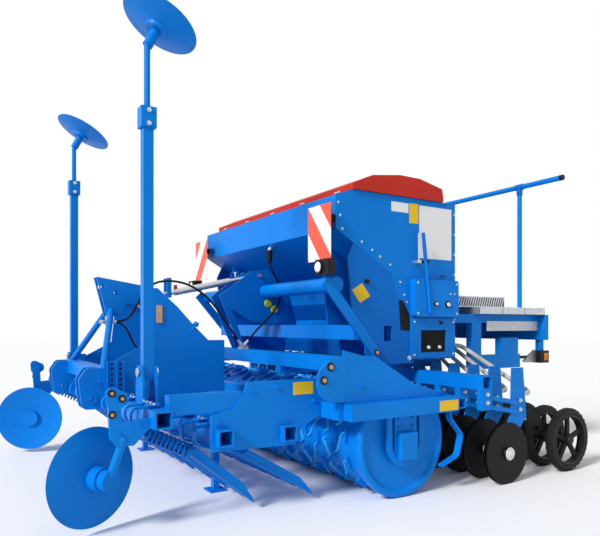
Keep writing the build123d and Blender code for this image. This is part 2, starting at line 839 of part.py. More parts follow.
# Hoses that hang free between their fittings, with arcs as large as the runs allow
def hose(route, radius):
    points = [Vector(*point) for point in route]
    radii = []
    for before, corner, after in zip(points, points[1:], points[2:]):
        turn = (corner - before).get_angle(after - corner)
        shorter = min((corner - before).length, (after - corner).length)
        radii.append(0.45 * shorter / tan(radians(turn / 2)))
    with BuildPart() as tube:
        with BuildLine() as path:
            FilletPolyline(*points, radius=radii)
        with BuildSketch(Plane(origin=points[0], z_dir=points[1] - points[0])) as section:
            Circle(radius)
        sweep(section.sketch, path=path.line)
    length = sum(edge.length for edge in path.edges())
    share = tube.part.volume / (section.sketch.area * length)
    print(f"hose length {length:.0f}, volume share {share:.3f}, radii {[round(r) for r in radii]}")
    return tube.part


hose_r = 7.0
loop_r = 6.0
upper_route = (
    (coupling_x[0], coupling_row[2], coupling_z),
    (1160.0, coupling_row[2], coupling_z),
    (1105.0, 48.0, 985.0),
    (1075.0, 88.0, 1062.0),
    (1045.0, 125.0, 1135.0),
    (992.0, 143.0, 1190.0),
    (908.0, 150.0, 1208.0),
    (805.0, 151.0, 1200.0),
    (705.0, 150.0, 1160.0),
    (618.0, 150.0, 1090.0),
    (548.0, 150.0, 1005.0),
    (493.0, 150.0, 928.0),
    (440.0, 150.0, 858.0),
    upper_end,
)
tank_route = (
    tank_start,
    (tank_start[0], tank_start[1], 1362.0),
    (128.0, 103.0, 1300.0),
    (86.0, 106.0, 1238.0),
    (60.0, 106.0, 1165.0),
    (72.0, 103.0, 1088.0),
    (118.0, 103.0, 1022.0),
    (178.0, 102.0, 965.0),
    (240.0, 101.0, 908.0),
    (296.0, 100.0, 850.0),
    tank_end,
)
loop_route = (
    (coupling_x[0], coupling_row[0], coupling_z),
    (1162.0, coupling_row[0], coupling_z),
    (1112.0, -34.0, 915.0),
    (1085.0, -38.0, 860.0),
    (1060.0, -42.0, 800.0),
    (1008.0, -46.0, 762.0),
    (948.0, -49.0, 772.0),
    (912.0, -50.0, 825.0),
    (914.0, -50.0, 885.0),
    (935.0, -50.0, 940.0),
    (971.0, -50.0, 985.0),
    loop_end,
)
save(hose(upper_route, hose_r), "hose_upper")
save(hose(tank_route, hose_r), "hose_tank")
save(hose(loop_route, loop_r), "hose_loop")


# Warning boards in front of the hopper's corners, on brackets that also hold the lamps
board_x = 253.0
board_t = 3.0
board_y = (760.0, 995.0)
board_z = (1300.0, 1622.0)
bracket_t = 6.0
with BuildPart() as board_brackets:
    block((board_x - fit - bracket_t, board_x - fit), (880.0, 990.0), (1216.0, 1590.0))
    block((hopper_front + fit, board_x - fit), (890.0, 925.0), (1530.0, 1570.0))
    mirror(about=Plane.XZ)
save(board_brackets.part, "board_brackets")

with BuildPart() as warning_boards:
    block((board_x, board_x + board_t), board_y, board_z)
    mirror(about=Plane.XZ)
save(warning_boards.part, "warning_boards")


# Coulter rail: square tube across the machine
with BuildPart() as coulter_rail:
    beam(rail_x, rail_z, rail, 8.0, -rail_half, rail_half)
save(coulter_rail.part, "coulter_rail")

row_y = [(number - (row_count - 1) / 2) * row_pitch for number in range(row_count)]

# Coulter discs: two flat blades on one hub in each row
disc_hub_r = 20.0
with BuildPart() as coulter_pair:
    half_gap = coulter_gap / 2
    with BuildSketch(Plane.YZ) as profile:
        with BuildLine():
            Polyline(
                (0.0, 0.0),
                (half_gap + 22.0, 0.0),
                (half_gap + 22.0, 26.0),
                (half_gap + coulter_t, 34.0),
                (half_gap + coulter_t, coulter_r - 10),
                (half_gap + 1, coulter_r),
                (half_gap, coulter_r),
                (half_gap, disc_hub_r),
                (0.0, disc_hub_r),
                close=True,
            )
        make_face()
        mirror(about=Plane.YZ)
    revolve(profile.sketch, axis=Axis.Y)
with BuildPart() as coulter_discs:
    add([coulter_pair.part.moved(Location((coulter_x, y, coulter_r))) for y in row_y])
save(coulter_discs.part, "coulter_discs")


# Coulter arms: a pair of links, an upright and a leg between the blades
leg_t = 10.0
upright_x = (-880.0, -751.0)
upright_z = (385.0, 676.0)
with BuildPart() as coulter_arm:
    with BuildSketch(Plane.XZ.offset(-leg_t / 2)) as outline:
        with BuildLine():
            Polyline(
                (upright_x[0], upright_z[0]),
                (coulter_x - 60.0, coulter_r + 60.0),
                (coulter_x - 34.0, coulter_r - 22.0),
                (coulter_x + 34.0, coulter_r - 22.0),
                (coulter_x + 30.0, coulter_r + 60.0),
                (upright_x[1] + 10.0, upright_z[0] + 30.0),
                (upright_x[1], upright_z[1]),
                (upright_x[0] + 30.0, upright_z[1]),
                close=True,
            )
        make_face()
        with Locations((coulter_x, coulter_r)):
            Circle(disc_hub_r + fit, mode=Mode.SUBTRACT)
    extrude(outline.sketch, amount=leg_t)
    for low_z in (415.0, 470.0):
        bar((rail_x + 20.0, 0, low_z + 55), (upright_x[1] - 40.0, 0, low_z), 24.0, 26.0)
    block((rail_x - rail / 2, rail_x + rail / 2), (-20.0, 20.0), (445.0, rail_z - rail / 2 - fit))
with BuildPart() as coulter_arms:
    add([coulter_arm.part.moved(Location((0, y, 0))) for y in row_y])
save(coulter_arms.part, "coulter_arms")


# Press wheels: a crowned tyre on a rim with open spokes
wheel_bore_r = 12.0
rim_r = 148.0
wheel_hub_r = 34.0
spoke_count = 5
spoke_w = 30.0
with BuildPart() as press_wheel:
    with BuildSketch(Plane.YZ) as profile:
        with BuildLine():
            Polyline((-wheel_w / 2, rim_r), (-wheel_w / 2, wheel_r - 16), (-10.0, wheel_r), (10.0, wheel_r),
                     (wheel_w / 2, wheel_r - 16), (wheel_w / 2, rim_r), close=True)
        make_face()
    revolve(profile.sketch, axis=Axis.Y)
    rod((0, -wheel_w / 2, 0), (0, wheel_w / 2, 0), wheel_hub_r)
    for number in range(spoke_count):
        angle = radians(90 + number * 360 / spoke_count)
        bar((wheel_hub_r * 0.8 * cos(angle), 0, wheel_hub_r * 0.8 * sin(angle)),
            ((rim_r + 4) * cos(angle), 0, (rim_r + 4) * sin(angle)), 16.0, spoke_w)
    rod((0, -wheel_w, 0), (0, wheel_w, 0), wheel_bore_r + fit, mode=Mode.SUBTRACT)
with BuildPart() as press_wheels:
    add([press_wheel.part.moved(Location((wheel_x, y, wheel_r))) for y in row_y])
save(press_wheels.part, "press_wheels")


# Wheel arms: a bar beside each press wheel, with its axle
with BuildPart() as wheel_arm:
    side_y = -wheel_w / 2 - 14.0
    bar((upright_x[0] + 20.0, side_y, 430.0), (wheel_x, side_y, wheel_r), 12.0, 50.0)
    rod((wheel_x, side_y, wheel_r), (wheel_x, wheel_w / 2 + 4, wheel_r), wheel_bore_r)
    block((upright_x[0] - 10.0, upright_x[0] + 40.0), (side_y - 6, -leg_t / 2 - fit), (400.0, 470.0))
with BuildPart() as wheel_arms:
    add([wheel_arm.part.moved(Location((0, y, 0))) for y in row_y])
save(wheel_arms.part, "wheel_arms")


# Seed tubes from the metering unit's back to the coulter arms
seed_tube_r = 14.0
tube_start_z = 790.0
tube_end_z = 520.0
tube_x = -925.0
# half of the outlets, beside the middle to the end: y of each
outlet_y = (50.0, 150.0, 250.0, 350.0, 450.0, 550.0, 650.0, 760.0, 860.0)
tube_end_x = upright_x[0] + 30.0 * (tube_end_z - seed_tube_r - upright_z[0]) / (upright_z[1] - upright_z[0]) - fit
with BuildPart() as seed_tubes:
    for side in (1, -1):
        for number, start_y in enumerate(outlet_y):
            end_y = side * (number + 0.5) * row_pitch
            start = (hopper_rear - fit, side * start_y, tube_start_z)
            with BuildLine() as path:
                FilletPolyline(
                    start,
                    (tube_x, side * start_y, tube_start_z),
                    (tube_x, end_y, tube_end_z),
                    (tube_end_x, end_y, tube_end_z),
                    radius=40.0,
                )
            with BuildSketch(Plane(origin=start, z_dir=(-1, 0, 0))) as section:
                Circle(seed_tube_r)
            sweep(section.sketch, path=path.line)
save(seed_tubes.part, "seed_tubes")


# Platform, step and handrail
plank_count = 3
plank_gap = 6.0
sheet_t = 3.0


def plank(x_low, x_high, half, z_low, z_high):
    """Folded tread: a top sheet with two sides turned down."""
    block((x_low, x_high), (-half, half), (z_high - sheet_t, z_high))
    block((x_low, x_low + sheet_t), (-half, half), (z_low, z_high))
    block((x_high - sheet_t, x_high), (-half, half), (z_low, z_high))


with BuildPart() as platform:
    plank_w = (platform_x[1] - platform_x[0] + plank_gap) / plank_count
    for number in range(plank_count):
        x_low = platform_x[0] + number * plank_w
        plank(x_low, x_low + plank_w - plank_gap, platform_half, *platform_z)
    step_w = (step_x[1] - step_x[0] + plank_gap) / 2
    for number in range(2):
        x_low = step_x[0] + number * step_w
        plank(x_low, x_low + step_w - plank_gap, step_half, platform_z[1] + fit, step_top)
save(platform.part, "platform")

# Platform frame: beams back from the hopper, columns and foot tubes below, a beam across the end
frame_y = (880.0, 934.0)
frame_beam_z = (945.0, platform_z[0] - fit)
column_x = (-1048.0, -959.0)
foot_tube_x = (-1457.0, -956.0)
foot_tube_z = (626.0, 722.0)
box_x = (-1436.0, -1253.0)
box_top = 840.0
end_beam_z = (820.0, platform_z[1])
end_beam_t = 42.0
with BuildPart() as platform_frame:
    block((platform_x[0], hopper_rear - fit), frame_y, frame_beam_z)
    block((platform_x[0], hopper_rear - fit), (300.0, 350.0), frame_beam_z)
    block(column_x, frame_y, (foot_tube_z[1] - 2, frame_beam_z[0] + 2))
    block(foot_tube_x, frame_y, foot_tube_z)
    block(box_x, frame_y, (foot_tube_z[1] - 2, box_top))
    mirror(about=Plane.XZ)
    block((platform_x[0] - end_beam_t, platform_x[0] + 1), (-platform_half, platform_half),
          (end_beam_z[0], frame_beam_z[1]))
save(platform_frame.part, "platform_frame")

# Lamps: a round one in a box under each warning board, and one behind each foot tube
lamp_box_z = (1212.0, board_z[0] - fit)
lamp_r = 38.0
rear_lamp_x = (-1754.0, -1662.0)
with BuildPart() as lamps:
    block((board_x, board_x + 50), (905.0, 1035.0), lamp_box_z)
    rod((board_x + 50, 950.0, sum(lamp_box_z) / 2), (board_x + 62, 950.0, sum(lamp_box_z) / 2), lamp_r)
    block(rear_lamp_x, (880.0, 960.0), (650.0, 740.0))
    block((rear_lamp_x[1] - 1, foot_tube_x[0] - fit), (895.0, 915.0), (685.0, 705.0))
    mirror(about=Plane.XZ)
save(lamps.part, "lamps")

with BuildPart() as handrail:
    rod((handrail_x, -handrail_half, handrail_z), (handrail_x, handrail_half, handrail_z), 19.0)
    for side in (1, -1):
        y = side * handrail_post_y
        rod((handrail_x, y, platform_z[1] + fit), (handrail_x, y, handrail_z), 17.0)
save(handrail.part, "handrail")
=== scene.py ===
"""Seed drill: finishes, small fittings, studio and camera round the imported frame.

Metres. +X points forward to the tractor, +Y to the machine's left, +Z up.
"""

import math

import bmesh
import bpy
from mathutils import Matrix, Vector


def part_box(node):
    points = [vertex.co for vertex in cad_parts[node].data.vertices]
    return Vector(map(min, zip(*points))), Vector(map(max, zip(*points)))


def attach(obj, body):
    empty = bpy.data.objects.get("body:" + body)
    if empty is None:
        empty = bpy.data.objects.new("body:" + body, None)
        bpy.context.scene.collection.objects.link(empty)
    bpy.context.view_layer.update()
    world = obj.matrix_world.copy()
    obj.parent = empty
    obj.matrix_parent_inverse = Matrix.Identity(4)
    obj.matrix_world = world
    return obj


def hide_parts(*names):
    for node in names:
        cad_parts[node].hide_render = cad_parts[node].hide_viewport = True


# Camera, from the photograph's vanishing points
CAMERA_PLACE = (2.157, 3.71, 0.93)
CAMERA_VIEW = (-0.5302, -0.8479, 0.0)
CAMERA_LENS = 35.4
CAMERA_SENSOR = 36.0
CAMERA_SHIFT = 0.095

# Colours, linear
BLUE = (0.0008, 0.195, 0.665)
# darker copy of BLUE: painted shade on the parts that look darker
PAINTED_SHADE_BLUE = (0.0006, 0.15, 0.56)
# lighter copy of BLUE: painted highlight on the roller's lugs, where the sun catches them
PAINTED_HIGHLIGHT_BLUE = (0.06, 0.50, 0.88)
RED = (0.50, 0.030, 0.018)
BOARD_RED = (0.85, 0.09, 0.04)
WHITE = (0.80, 0.80, 0.80)
YELLOW = (0.78, 0.52, 0.03)
CAP_GREEN = (0.50, 0.52, 0.04)
COPPER = (0.55, 0.34, 0.20)
AMBER = (0.80, 0.22, 0.02)
BLACK = (0.010, 0.010, 0.011)
RUBBER = (0.009, 0.009, 0.009)
ZINC = (0.52, 0.54, 0.56)
PALE_ZINC = (0.60, 0.64, 0.68)
STEEL = (0.36, 0.37, 0.39)
SILVER = (0.70, 0.70, 0.68)
TUBE_GREY = (0.42, 0.43, 0.40)
LENS_RED = (0.62, 0.02, 0.015)

SIDES = (1, -1)

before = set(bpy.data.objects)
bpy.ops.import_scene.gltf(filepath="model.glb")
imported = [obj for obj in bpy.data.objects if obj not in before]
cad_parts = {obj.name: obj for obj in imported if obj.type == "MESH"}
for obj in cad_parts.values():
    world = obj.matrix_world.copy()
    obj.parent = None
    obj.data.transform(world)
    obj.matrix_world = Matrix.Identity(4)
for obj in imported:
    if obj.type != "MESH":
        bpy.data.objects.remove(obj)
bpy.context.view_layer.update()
scene = bpy.context.scene


# Materials

# most of a noise's values lie between these two
NOISE_LOW = 0.3
NOISE_HIGH = 0.7
PAINT_GLOSS = 0.12
STRIPE_SLOPE = 1.3
STRIPE_START = 0.02
STRIPE_PERIOD = 0.31
LENS_X = -1.7535


def start_material(name):
    """A material with its shader, and a point on the piece in its own coordinates."""
    material = bpy.data.materials.new(name)
    material.use_nodes = True
    nodes = material.node_tree.nodes
    shader = nodes["Principled BSDF"]
    point = nodes.new("ShaderNodeTexCoord").outputs["Object"]
    return material, nodes, material.node_tree.links, shader, point


def noise(nodes, links, point, scale, detail=4.0, stretch=(1, 1, 1)):
    """Noise at this many waves a metre, drawn out along an axis by stretch."""
    mapping = nodes.new("ShaderNodeMapping")
    mapping.inputs["Scale"].default_value = stretch
    texture = nodes.new("ShaderNodeTexNoise")
    texture.inputs["Scale"].default_value = scale
    texture.inputs["Detail"].default_value = detail
    links.new(point, mapping.inputs["Vector"])
    links.new(mapping.outputs["Vector"], texture.inputs["Vector"])
    return texture.outputs["Fac"]


def spread(nodes, links, value, low, high):
    """The noise's value taken to low..high."""
    ranged = nodes.new("ShaderNodeMapRange")
    ranged.inputs["From Min"].default_value = NOISE_LOW
    ranged.inputs["From Max"].default_value = NOISE_HIGH
    ranged.inputs["To Min"].default_value = low
    ranged.inputs["To Max"].default_value = high
    links.new(value, ranged.inputs["Value"])
    return ranged.outputs["Result"]


def two_tones(nodes, links, value, dark, light):
    """Colour between two tones by the value."""
    ramp = nodes.new("ShaderNodeValToRGB")
    ramp.color_ramp.elements[0].position = NOISE_LOW
    ramp.color_ramp.elements[0].color = (*dark, 1)
    ramp.color_ramp.elements[1].position = NOISE_HIGH
    ramp.color_ramp.elements[1].color = (*light, 1)
    links.new(value, ramp.inputs["Fac"])
    return ramp.outputs["Color"]


def roughen(nodes, links, shader, height, strength, distance):
    """Small bumps from a height."""
    bump = nodes.new("ShaderNodeBump")
    bump.inputs["Strength"].default_value = strength
    bump.inputs["Distance"].default_value = distance
    links.new(height, bump.inputs["Height"])
    links.new(bump.outputs["Normal"], shader.inputs["Normal"])


def calculate(nodes, links, operation, *values):
    """The result of a calculation on sockets and plain numbers."""
    node = nodes.new("ShaderNodeMath")
    node.operation = operation
    for socket, value in zip(node.inputs, values):
        if isinstance(value, float):
            socket.default_value = value
        else:
            links.new(value, socket)
    return node.outputs["Value"]


def shade(colour, factor):
    """The colour made darker, or lighter where the factor is over 1."""
    return tuple(channel * factor for channel in colour)


def dress(nodes, links, shader, colour, tone, tones, wear, rough, grain, strength, distance):
    """Base colour between two tones, roughness between two values and small bumps."""
    dark, light = (shade(colour, factor) for factor in tones)
    links.new(two_tones(nodes, links, tone, dark, light), shader.inputs["Base Color"])
    links.new(spread(nodes, links, wear, *rough), shader.inputs["Roughness"])
    roughen(nodes, links, shader, grain, strength, distance)


def paint(name, colour, rough=0.38, variation=0.08):
    """Sprayed paint: slight orange peel, faint dust and soft tone changes."""
    material, nodes, links, shader, point = start_material(name)
    clouds = noise(nodes, links, point, 2.2, 6.0)
    dust = noise(nodes, links, point, 9.0, 6.0)
    peel = noise(nodes, links, point, 260.0, 2.0)
    dress(nodes, links, shader, colour, clouds, (1 - variation, 1 + variation),
          dust, (rough - 0.05, rough + 0.1), peel, 0.08, 0.0006)
    shader.inputs["Specular IOR Level"].default_value = PAINT_GLOSS
    return material


def galvanised(name, colour, rough=0.42, metallic=0.75):
    """Zinc coat: crystal patches that differ a little in tone and gloss."""
    material, nodes, links, shader, point = start_material(name)
    crystals = nodes.new("ShaderNodeTexVoronoi")
    crystals.inputs["Scale"].default_value = 150.0
    links.new(point, crystals.inputs["Vector"])
    patches = nodes.new("ShaderNodeSeparateColor")
    links.new(crystals.outputs["Color"], patches.inputs["Color"])
    dress(nodes, links, shader, colour, patches.outputs["Red"], (0.88, 1.1),
          patches.outputs["Green"], (rough - 0.08, rough + 0.1),
          noise(nodes, links, point, 90.0, 3.0), 0.12, 0.0008)
    shader.inputs["Metallic"].default_value = metallic
    return material


def machined(name, colour, rough=0.3, metallic=0.9):
    """Turned or drawn metal: fine streaks and a few darker marks."""
    material, nodes, links, shader, point = start_material(name)
    streaks = noise(nodes, links, point, 30.0, 4.0, stretch=(1, 14, 14))
    dress(nodes, links, shader, colour, streaks, (0.78, 1.12), streaks, (rough, rough + 0.18),
          streaks, 0.1, 0.0004)
    shader.inputs["Metallic"].default_value = metallic
    return material


def moulded(name, colour, rough=0.5, gloss=0.18):
    """Moulded plastic or rubber with a fine grain."""
    material, nodes, links, shader, point = start_material(name)
    clouds = noise(nodes, links, point, 12.0, 5.0)
    grain = noise(nodes, links, point, 320.0, 3.0)
    dress(nodes, links, shader, colour, clouds, (0.8, 1.3), grain, (rough - 0.08, rough + 0.12),
          grain, 0.15, 0.0005)
    shader.inputs["Specular IOR Level"].default_value = gloss
    return material


def striped_board(name):
    """Red and white slanted stripes, mirrored on the two sides of the machine."""
    material, nodes, links, shader, point = start_material(name)
    parts = nodes.new("ShaderNodeSeparateXYZ")
    links.new(point, parts.inputs["Vector"])
    across = calculate(nodes, links, "ABSOLUTE", parts.outputs["Y"])
    slanted = calculate(nodes, links, "MULTIPLY_ADD", across, STRIPE_SLOPE, parts.outputs["Z"])
    shifted = calculate(nodes, links, "ADD", slanted, STRIPE_START)
    turns = calculate(nodes, links, "DIVIDE", shifted, STRIPE_PERIOD)
    share = calculate(nodes, links, "FRACT", turns)
    ramp = nodes.new("ShaderNodeValToRGB")
    ramp.color_ramp.interpolation = "CONSTANT"
    ramp.color_ramp.elements[0].color = (*BOARD_RED, 1)
    ramp.color_ramp.elements[1].position = 0.5
    ramp.color_ramp.elements[1].color = (*WHITE, 1)
    links.new(share, ramp.inputs["Fac"])
    links.new(ramp.outputs["Color"], shader.inputs["Base Color"])
    links.new(spread(nodes, links, noise(nodes, links, point, 20.0), 0.3, 0.45), shader.inputs["Roughness"])
    return material


def lamp_body(name):
    """Black plastic whose rearmost face is the red lens."""
    material = moulded(name, BLACK, rough=0.45)
    nodes, links = material.node_tree.nodes, material.node_tree.links
    shader = nodes["Principled BSDF"]
    black = shader.inputs["Base Color"].links[0].from_socket
    parts = nodes.new("ShaderNodeSeparateXYZ")
    links.new(nodes.new("ShaderNodeTexCoord").outputs["Object"], parts.inputs["Vector"])
    behind = calculate(nodes, links, "LESS_THAN", parts.outputs["X"], LENS_X)
    mix = nodes.new("ShaderNodeMix")
    mix.data_type = "RGBA"
    mix.inputs["B"].default_value = (*LENS_RED, 1)
    links.new(behind, mix.inputs["Factor"])
    links.new(black, mix.inputs["A"])
    links.new(mix.outputs["Result"], shader.inputs["Base Color"])
    return material


blue_paint = paint("blue_paint", BLUE)
# painted shade: a darker copy of the blue paint
painted_shade_blue_paint = paint("painted_shade_blue_paint", PAINTED_SHADE_BLUE)
# painted highlight: a lighter copy of the blue paint
painted_highlight_blue = paint("painted_highlight_blue", PAINTED_HIGHLIGHT_BLUE)
red_cover = paint("red_cover", RED, rough=0.45)
black_paint = paint("black_paint", BLACK, rough=0.42, variation=0.3)
white_label = paint("white_label", WHITE, rough=0.4, variation=0.04)
yellow_label = paint("yellow_label", YELLOW, rough=0.4, variation=0.06)
zinc = galvanised("zinc", ZINC)
pale_zinc = galvanised("pale_zinc", PALE_ZINC, rough=0.5, metallic=0.3)
bright_steel = machined("bright_steel", SILVER)
dark_steel = machined("dark_steel", STEEL, rough=0.38)
black_rubber = moulded("black_rubber", RUBBER, rough=0.6)
black_plastic = moulded("black_plastic", BLACK, rough=0.45)
clear_tube = moulded("clear_tube", TUBE_GREY, rough=0.35)
hose_rubber = moulded("hose_rubber", BLACK, rough=0.38)
gloss_black = moulded("gloss_black", shade(BLACK, 0.6), rough=0.24, gloss=0.4)
panel_black = moulded("panel_black", shade(BLACK, 0.6), rough=0.3, gloss=0.08)
green_cap = moulded("green_cap", CAP_GREEN, rough=0.4)
amber_lens = moulded("amber_lens", AMBER, rough=0.2)
cap_silver = machined("cap_silver", SILVER, rough=0.42, metallic=0.35)
copper_plate = machined("copper_plate", COPPER, rough=0.35, metallic=0.7)
board_stripes = striped_board("board_stripes")

NODE_FINISH = {
    "hopper_lid": red_cover,
    "coulter_discs": black_paint,
    "press_wheels": black_rubber,
    "wheel_arms": black_paint,
    "platform": zinc,
    "top_strut": bright_steel,
    "warning_boards": board_stripes,
    "board_brackets": black_paint,
    "lamps": lamp_body("lamp_body"),
    "seed_tubes": clear_tube,
    # tank feet and coupling plates in the darker blue: painted shade
    "tank_feet": painted_shade_blue_paint,
    "coupling_plates": painted_shade_blue_paint,
    "hose_fittings": zinc,
}


def finish_cad_nodes():
    """Each carried-over node gets its own finish, blue where the table names none."""
    for name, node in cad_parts.items():
        node.data.materials.clear()
        node.data.materials.append(NODE_FINISH.get(name, blue_paint))


# Shapes

def add_object(name, form, material):
    """A mesh object of the form, put in the scene."""
    mesh = bpy.data.meshes.new(name)
    form.to_mesh(mesh)
    form.free()
    mesh.materials.append(material)
    item = bpy.data.objects.new(name, mesh)
    scene.collection.objects.link(item)
    return item


def add_piece(name, form, material, body="frame"):
    """A finished piece that moves with a body."""
    bmesh.ops.recalc_face_normals(form, faces=form.faces)
    piece = add_object(name, form, material)
    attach(piece, body)
    return piece


def add_block(form, low, high):
    """Box between two corners."""
    low, high = Vector(low), Vector(high)
    place = Matrix.Translation((low + high) / 2) @ Matrix.Diagonal((*(high - low), 1))
    bmesh.ops.create_cube(form, size=1, matrix=place)


def add_round(form, start, end, radius, end_radius=None, sides=20):
    """Round or many-sided bar from one point to another, tapered if it has an end radius."""
    start, end = Vector(start), Vector(end)
    way = end - start
    turn = way.to_track_quat("Z", "Y").to_matrix().to_4x4()
    place = Matrix.Translation((start + end) / 2) @ turn
    bmesh.ops.create_cone(form, cap_ends=True, segments=sides, radius1=radius,
                          radius2=radius if end_radius is None else end_radius,
                          depth=way.length, matrix=place)


def soften(form, width, segments=2):
    """Bevel on all the form's edges."""
    bmesh.ops.bevel(form, geom=form.edges[:], offset=width, offset_type="OFFSET", segments=segments,
                    profile=0.5, affect="EDGES", clamp_overlap=True, material=-1)


def thicken(form, sheet, way):
    """A flat face drawn out into a plate."""
    thick = bmesh.ops.extrude_face_region(form, geom=[sheet])["geom"]
    moved = [item for item in thick if isinstance(item, bmesh.types.BMVert)]
    bmesh.ops.translate(form, verts=moved, vec=way)


def add_plates(form, corners, inner, outer):
    """Plate on each side with these corners in X and Z, between two distances from the middle."""
    for side in SIDES:
        ring = [form.verts.new((x, side * inner, z)) for x, z in corners]
        thicken(form, form.faces.new(ring), Vector((0, side * (outer - inner), 0)))


def add_span(form, xs, ys, zs):
    """Box from its low and high X, Y and Z."""
    add_block(form, *zip(xs, ys, zs))


def add_side_blocks(form, xs, reach, zs):
    """Box on each side; reach gives two distances from the machine's middle."""
    for side in SIDES:
        add_span(form, xs, sorted(side * y for y in reach), zs)


def add_studs(form, place, inner, outer, radius, end_radius=None, sides=20):
    """Round fitting on each side at this X and Z, between two distances from the middle."""
    x, z = place
    for side in SIDES:
        add_round(form, (x, side * inner, z), (x, side * outer, z), radius, end_radius, sides)


# Outer faces that the fittings stand on, as distances from the machine's middle

HOPPER_END_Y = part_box("hopper_ends")[1].y
GUSSET_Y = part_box("gussets")[1].y
SIDE_PLATE_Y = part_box("side_plates")[1].y
LOBE_Y = GUSSET_Y + 0.0015
ROLLER_ARM_Y = 1.386
BEARING_Y = 1.330
PANEL_Y = HOPPER_END_Y + 0.0043
ARM_HEAD_Y = 1.1295
DISC_ARM_Y = 1.125
STRUT_Y = 0.9503
# how far a fitting is sunk into the face it stands on
SEAT = 0.001
LABEL_T = 0.0012
LABEL_REACH = (HOPPER_END_Y, HOPPER_END_Y + LABEL_T)


# Hoses: each hangs along its route from one fitting to the other

HOSE_R = 0.007
LOOP_R = 0.006
UPPER_ROUTE = (
    (1.222, 0.032, 0.950), (1.160, 0.032, 0.950), (1.105, 0.048, 0.985),
    (1.075, 0.088, 1.062), (1.045, 0.125, 1.135), (0.992, 0.143, 1.190),
    (0.908, 0.150, 1.208), (0.805, 0.151, 1.200), (0.705, 0.150, 1.160),
    (0.618, 0.150, 1.090), (0.548, 0.150, 1.005), (0.493, 0.150, 0.928),
    (0.440, 0.150, 0.858), (0.400, 0.150, 0.808),
)
TANK_ROUTE = (
    (0.15091, 0.100, 1.42077), (0.15091, 0.100, 1.362), (0.128, 0.103, 1.300),
    (0.086, 0.106, 1.238), (0.060, 0.106, 1.165), (0.072, 0.103, 1.088),
    (0.118, 0.103, 1.022), (0.178, 0.102, 0.965), (0.240, 0.101, 0.908),
    (0.296, 0.100, 0.850), (0.340, 0.100, 0.800),
)
LOOP_ROUTE = (
    (1.222, -0.032, 0.950), (1.162, -0.032, 0.950), (1.112, -0.034, 0.915),
    (1.085, -0.038, 0.860), (1.060, -0.042, 0.800), (1.008, -0.046, 0.762),
    (0.948, -0.049, 0.772), (0.912, -0.050, 0.825), (0.914, -0.050, 0.885),
    (0.935, -0.050, 0.940), (0.971, -0.050, 0.985), (1.004, -0.050, 1.034),
)
# columns: node, route, radius, length
HOSES = (
    ("hose_upper", UPPER_ROUTE, HOSE_R, 1.143),
    ("hose_tank", TANK_ROUTE, HOSE_R, 0.746),
    ("hose_loop", LOOP_ROUTE, LOOP_R, 0.660),
)
SLEEVE_LENGTH = 0.032
# the sleeve's two ends and its collar are this much thicker than the hose
SLEEVE_SCALE = (1.45, 1.35)
COLLAR_SCALE = 1.9


def make_hose(node, route, radius):
    """Rubber hose with a crimped sleeve at each end."""
    curve = bpy.data.curves.new(f"{node}_line", "CURVE")
    curve.dimensions = "3D"
    line = curve.splines.new("NURBS")
    line.points.add(len(route) - 1)
    for point, place in zip(line.points, route):
        point.co = (*place, 1)
    line.order_u = 3
    line.use_endpoint_u = True
    line.resolution_u = 8
    curve.bevel_depth = radius
    curve.bevel_resolution = 3
    curve.use_fill_caps = True
    curve.materials.append(hose_rubber)
    hose = bpy.data.objects.new(f"{node}_rubber", curve)
    scene.collection.objects.link(hose)
    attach(hose, "frame")
    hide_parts(node)
    form = bmesh.new()
    for end, inner in ((route[0], route[1]), (route[-1], route[-2])):
        end = Vector(end)
        way = (Vector(inner) - end).normalized()
        thick, thin = (radius * scale for scale in SLEEVE_SCALE)
        add_round(form, end, end + way * SLEEVE_LENGTH, thick, thin, sides=16)
        add_round(form, end - way * 0.004, end + way * 0.006, radius * COLLAR_SCALE, sides=6)
    sleeves = add_piece(f"{node}_sleeves", form, bright_steel)


# Bolts: hexagon heads on round washers, standing on a face

WASHER_T = 0.002
WASHER_SCALE = 1.25
HEAD_TALL = 0.62
HEAD_TAPER = 0.94


def add_bolt(form, seat, way, size):
    """Bolt head that stands on the seat point and looks along the way; size is its radius."""
    seat, way = Vector(seat), Vector(way).normalized()
    add_round(form, seat - way * SEAT, seat + way * WASHER_T, size * WASHER_SCALE, sides=14)
    add_round(form, seat, seat + way * (WASHER_T + size * HEAD_TALL), size, size * HEAD_TAPER, sides=6)


# places in X and Z
HOPPER_SEAM = ((0.162, 1.641), (0.148, 1.567), (0.133, 1.490), (-0.010, 1.424), (-0.089, 1.381),
               (-0.151, 1.345), (-0.230, 1.300), (-0.311, 1.197), (-0.345, 1.118), (-0.369, 1.074),
               (-0.785, 1.660), (-0.785, 1.528), (-0.785, 1.395), (-0.785, 1.262))
METER_SEAM = ((-0.785, 0.963), (-0.785, 0.850), (-0.785, 0.735))
FOOT_BOLTS = ((-0.387, 0.724),)
STRUT_BOLTS = ((-0.112, 0.764),)
LOBE_BOLTS = ((0.491, 0.723), (0.531, 0.659))
GUSSET_BOLTS = ((0.295, 0.622), (-0.250, 0.560))
SIDE_PLATE_BOLTS = ((0.480, 0.540), (0.840, 0.610), (0.700, 0.625), (1.020, 0.470))
ARM_HEAD_BOLTS = ((1.498, 0.635), (1.454, 0.610))
DISC_ARM_BOLTS = ((1.496, 0.542),)
ARM_PINS = ((1.464, 0.458), (1.372, 0.490))
BEARING_BOLTS = ((-0.050, 0.385), (0.050, 0.385), (-0.050, 0.430), (0.050, 0.430))
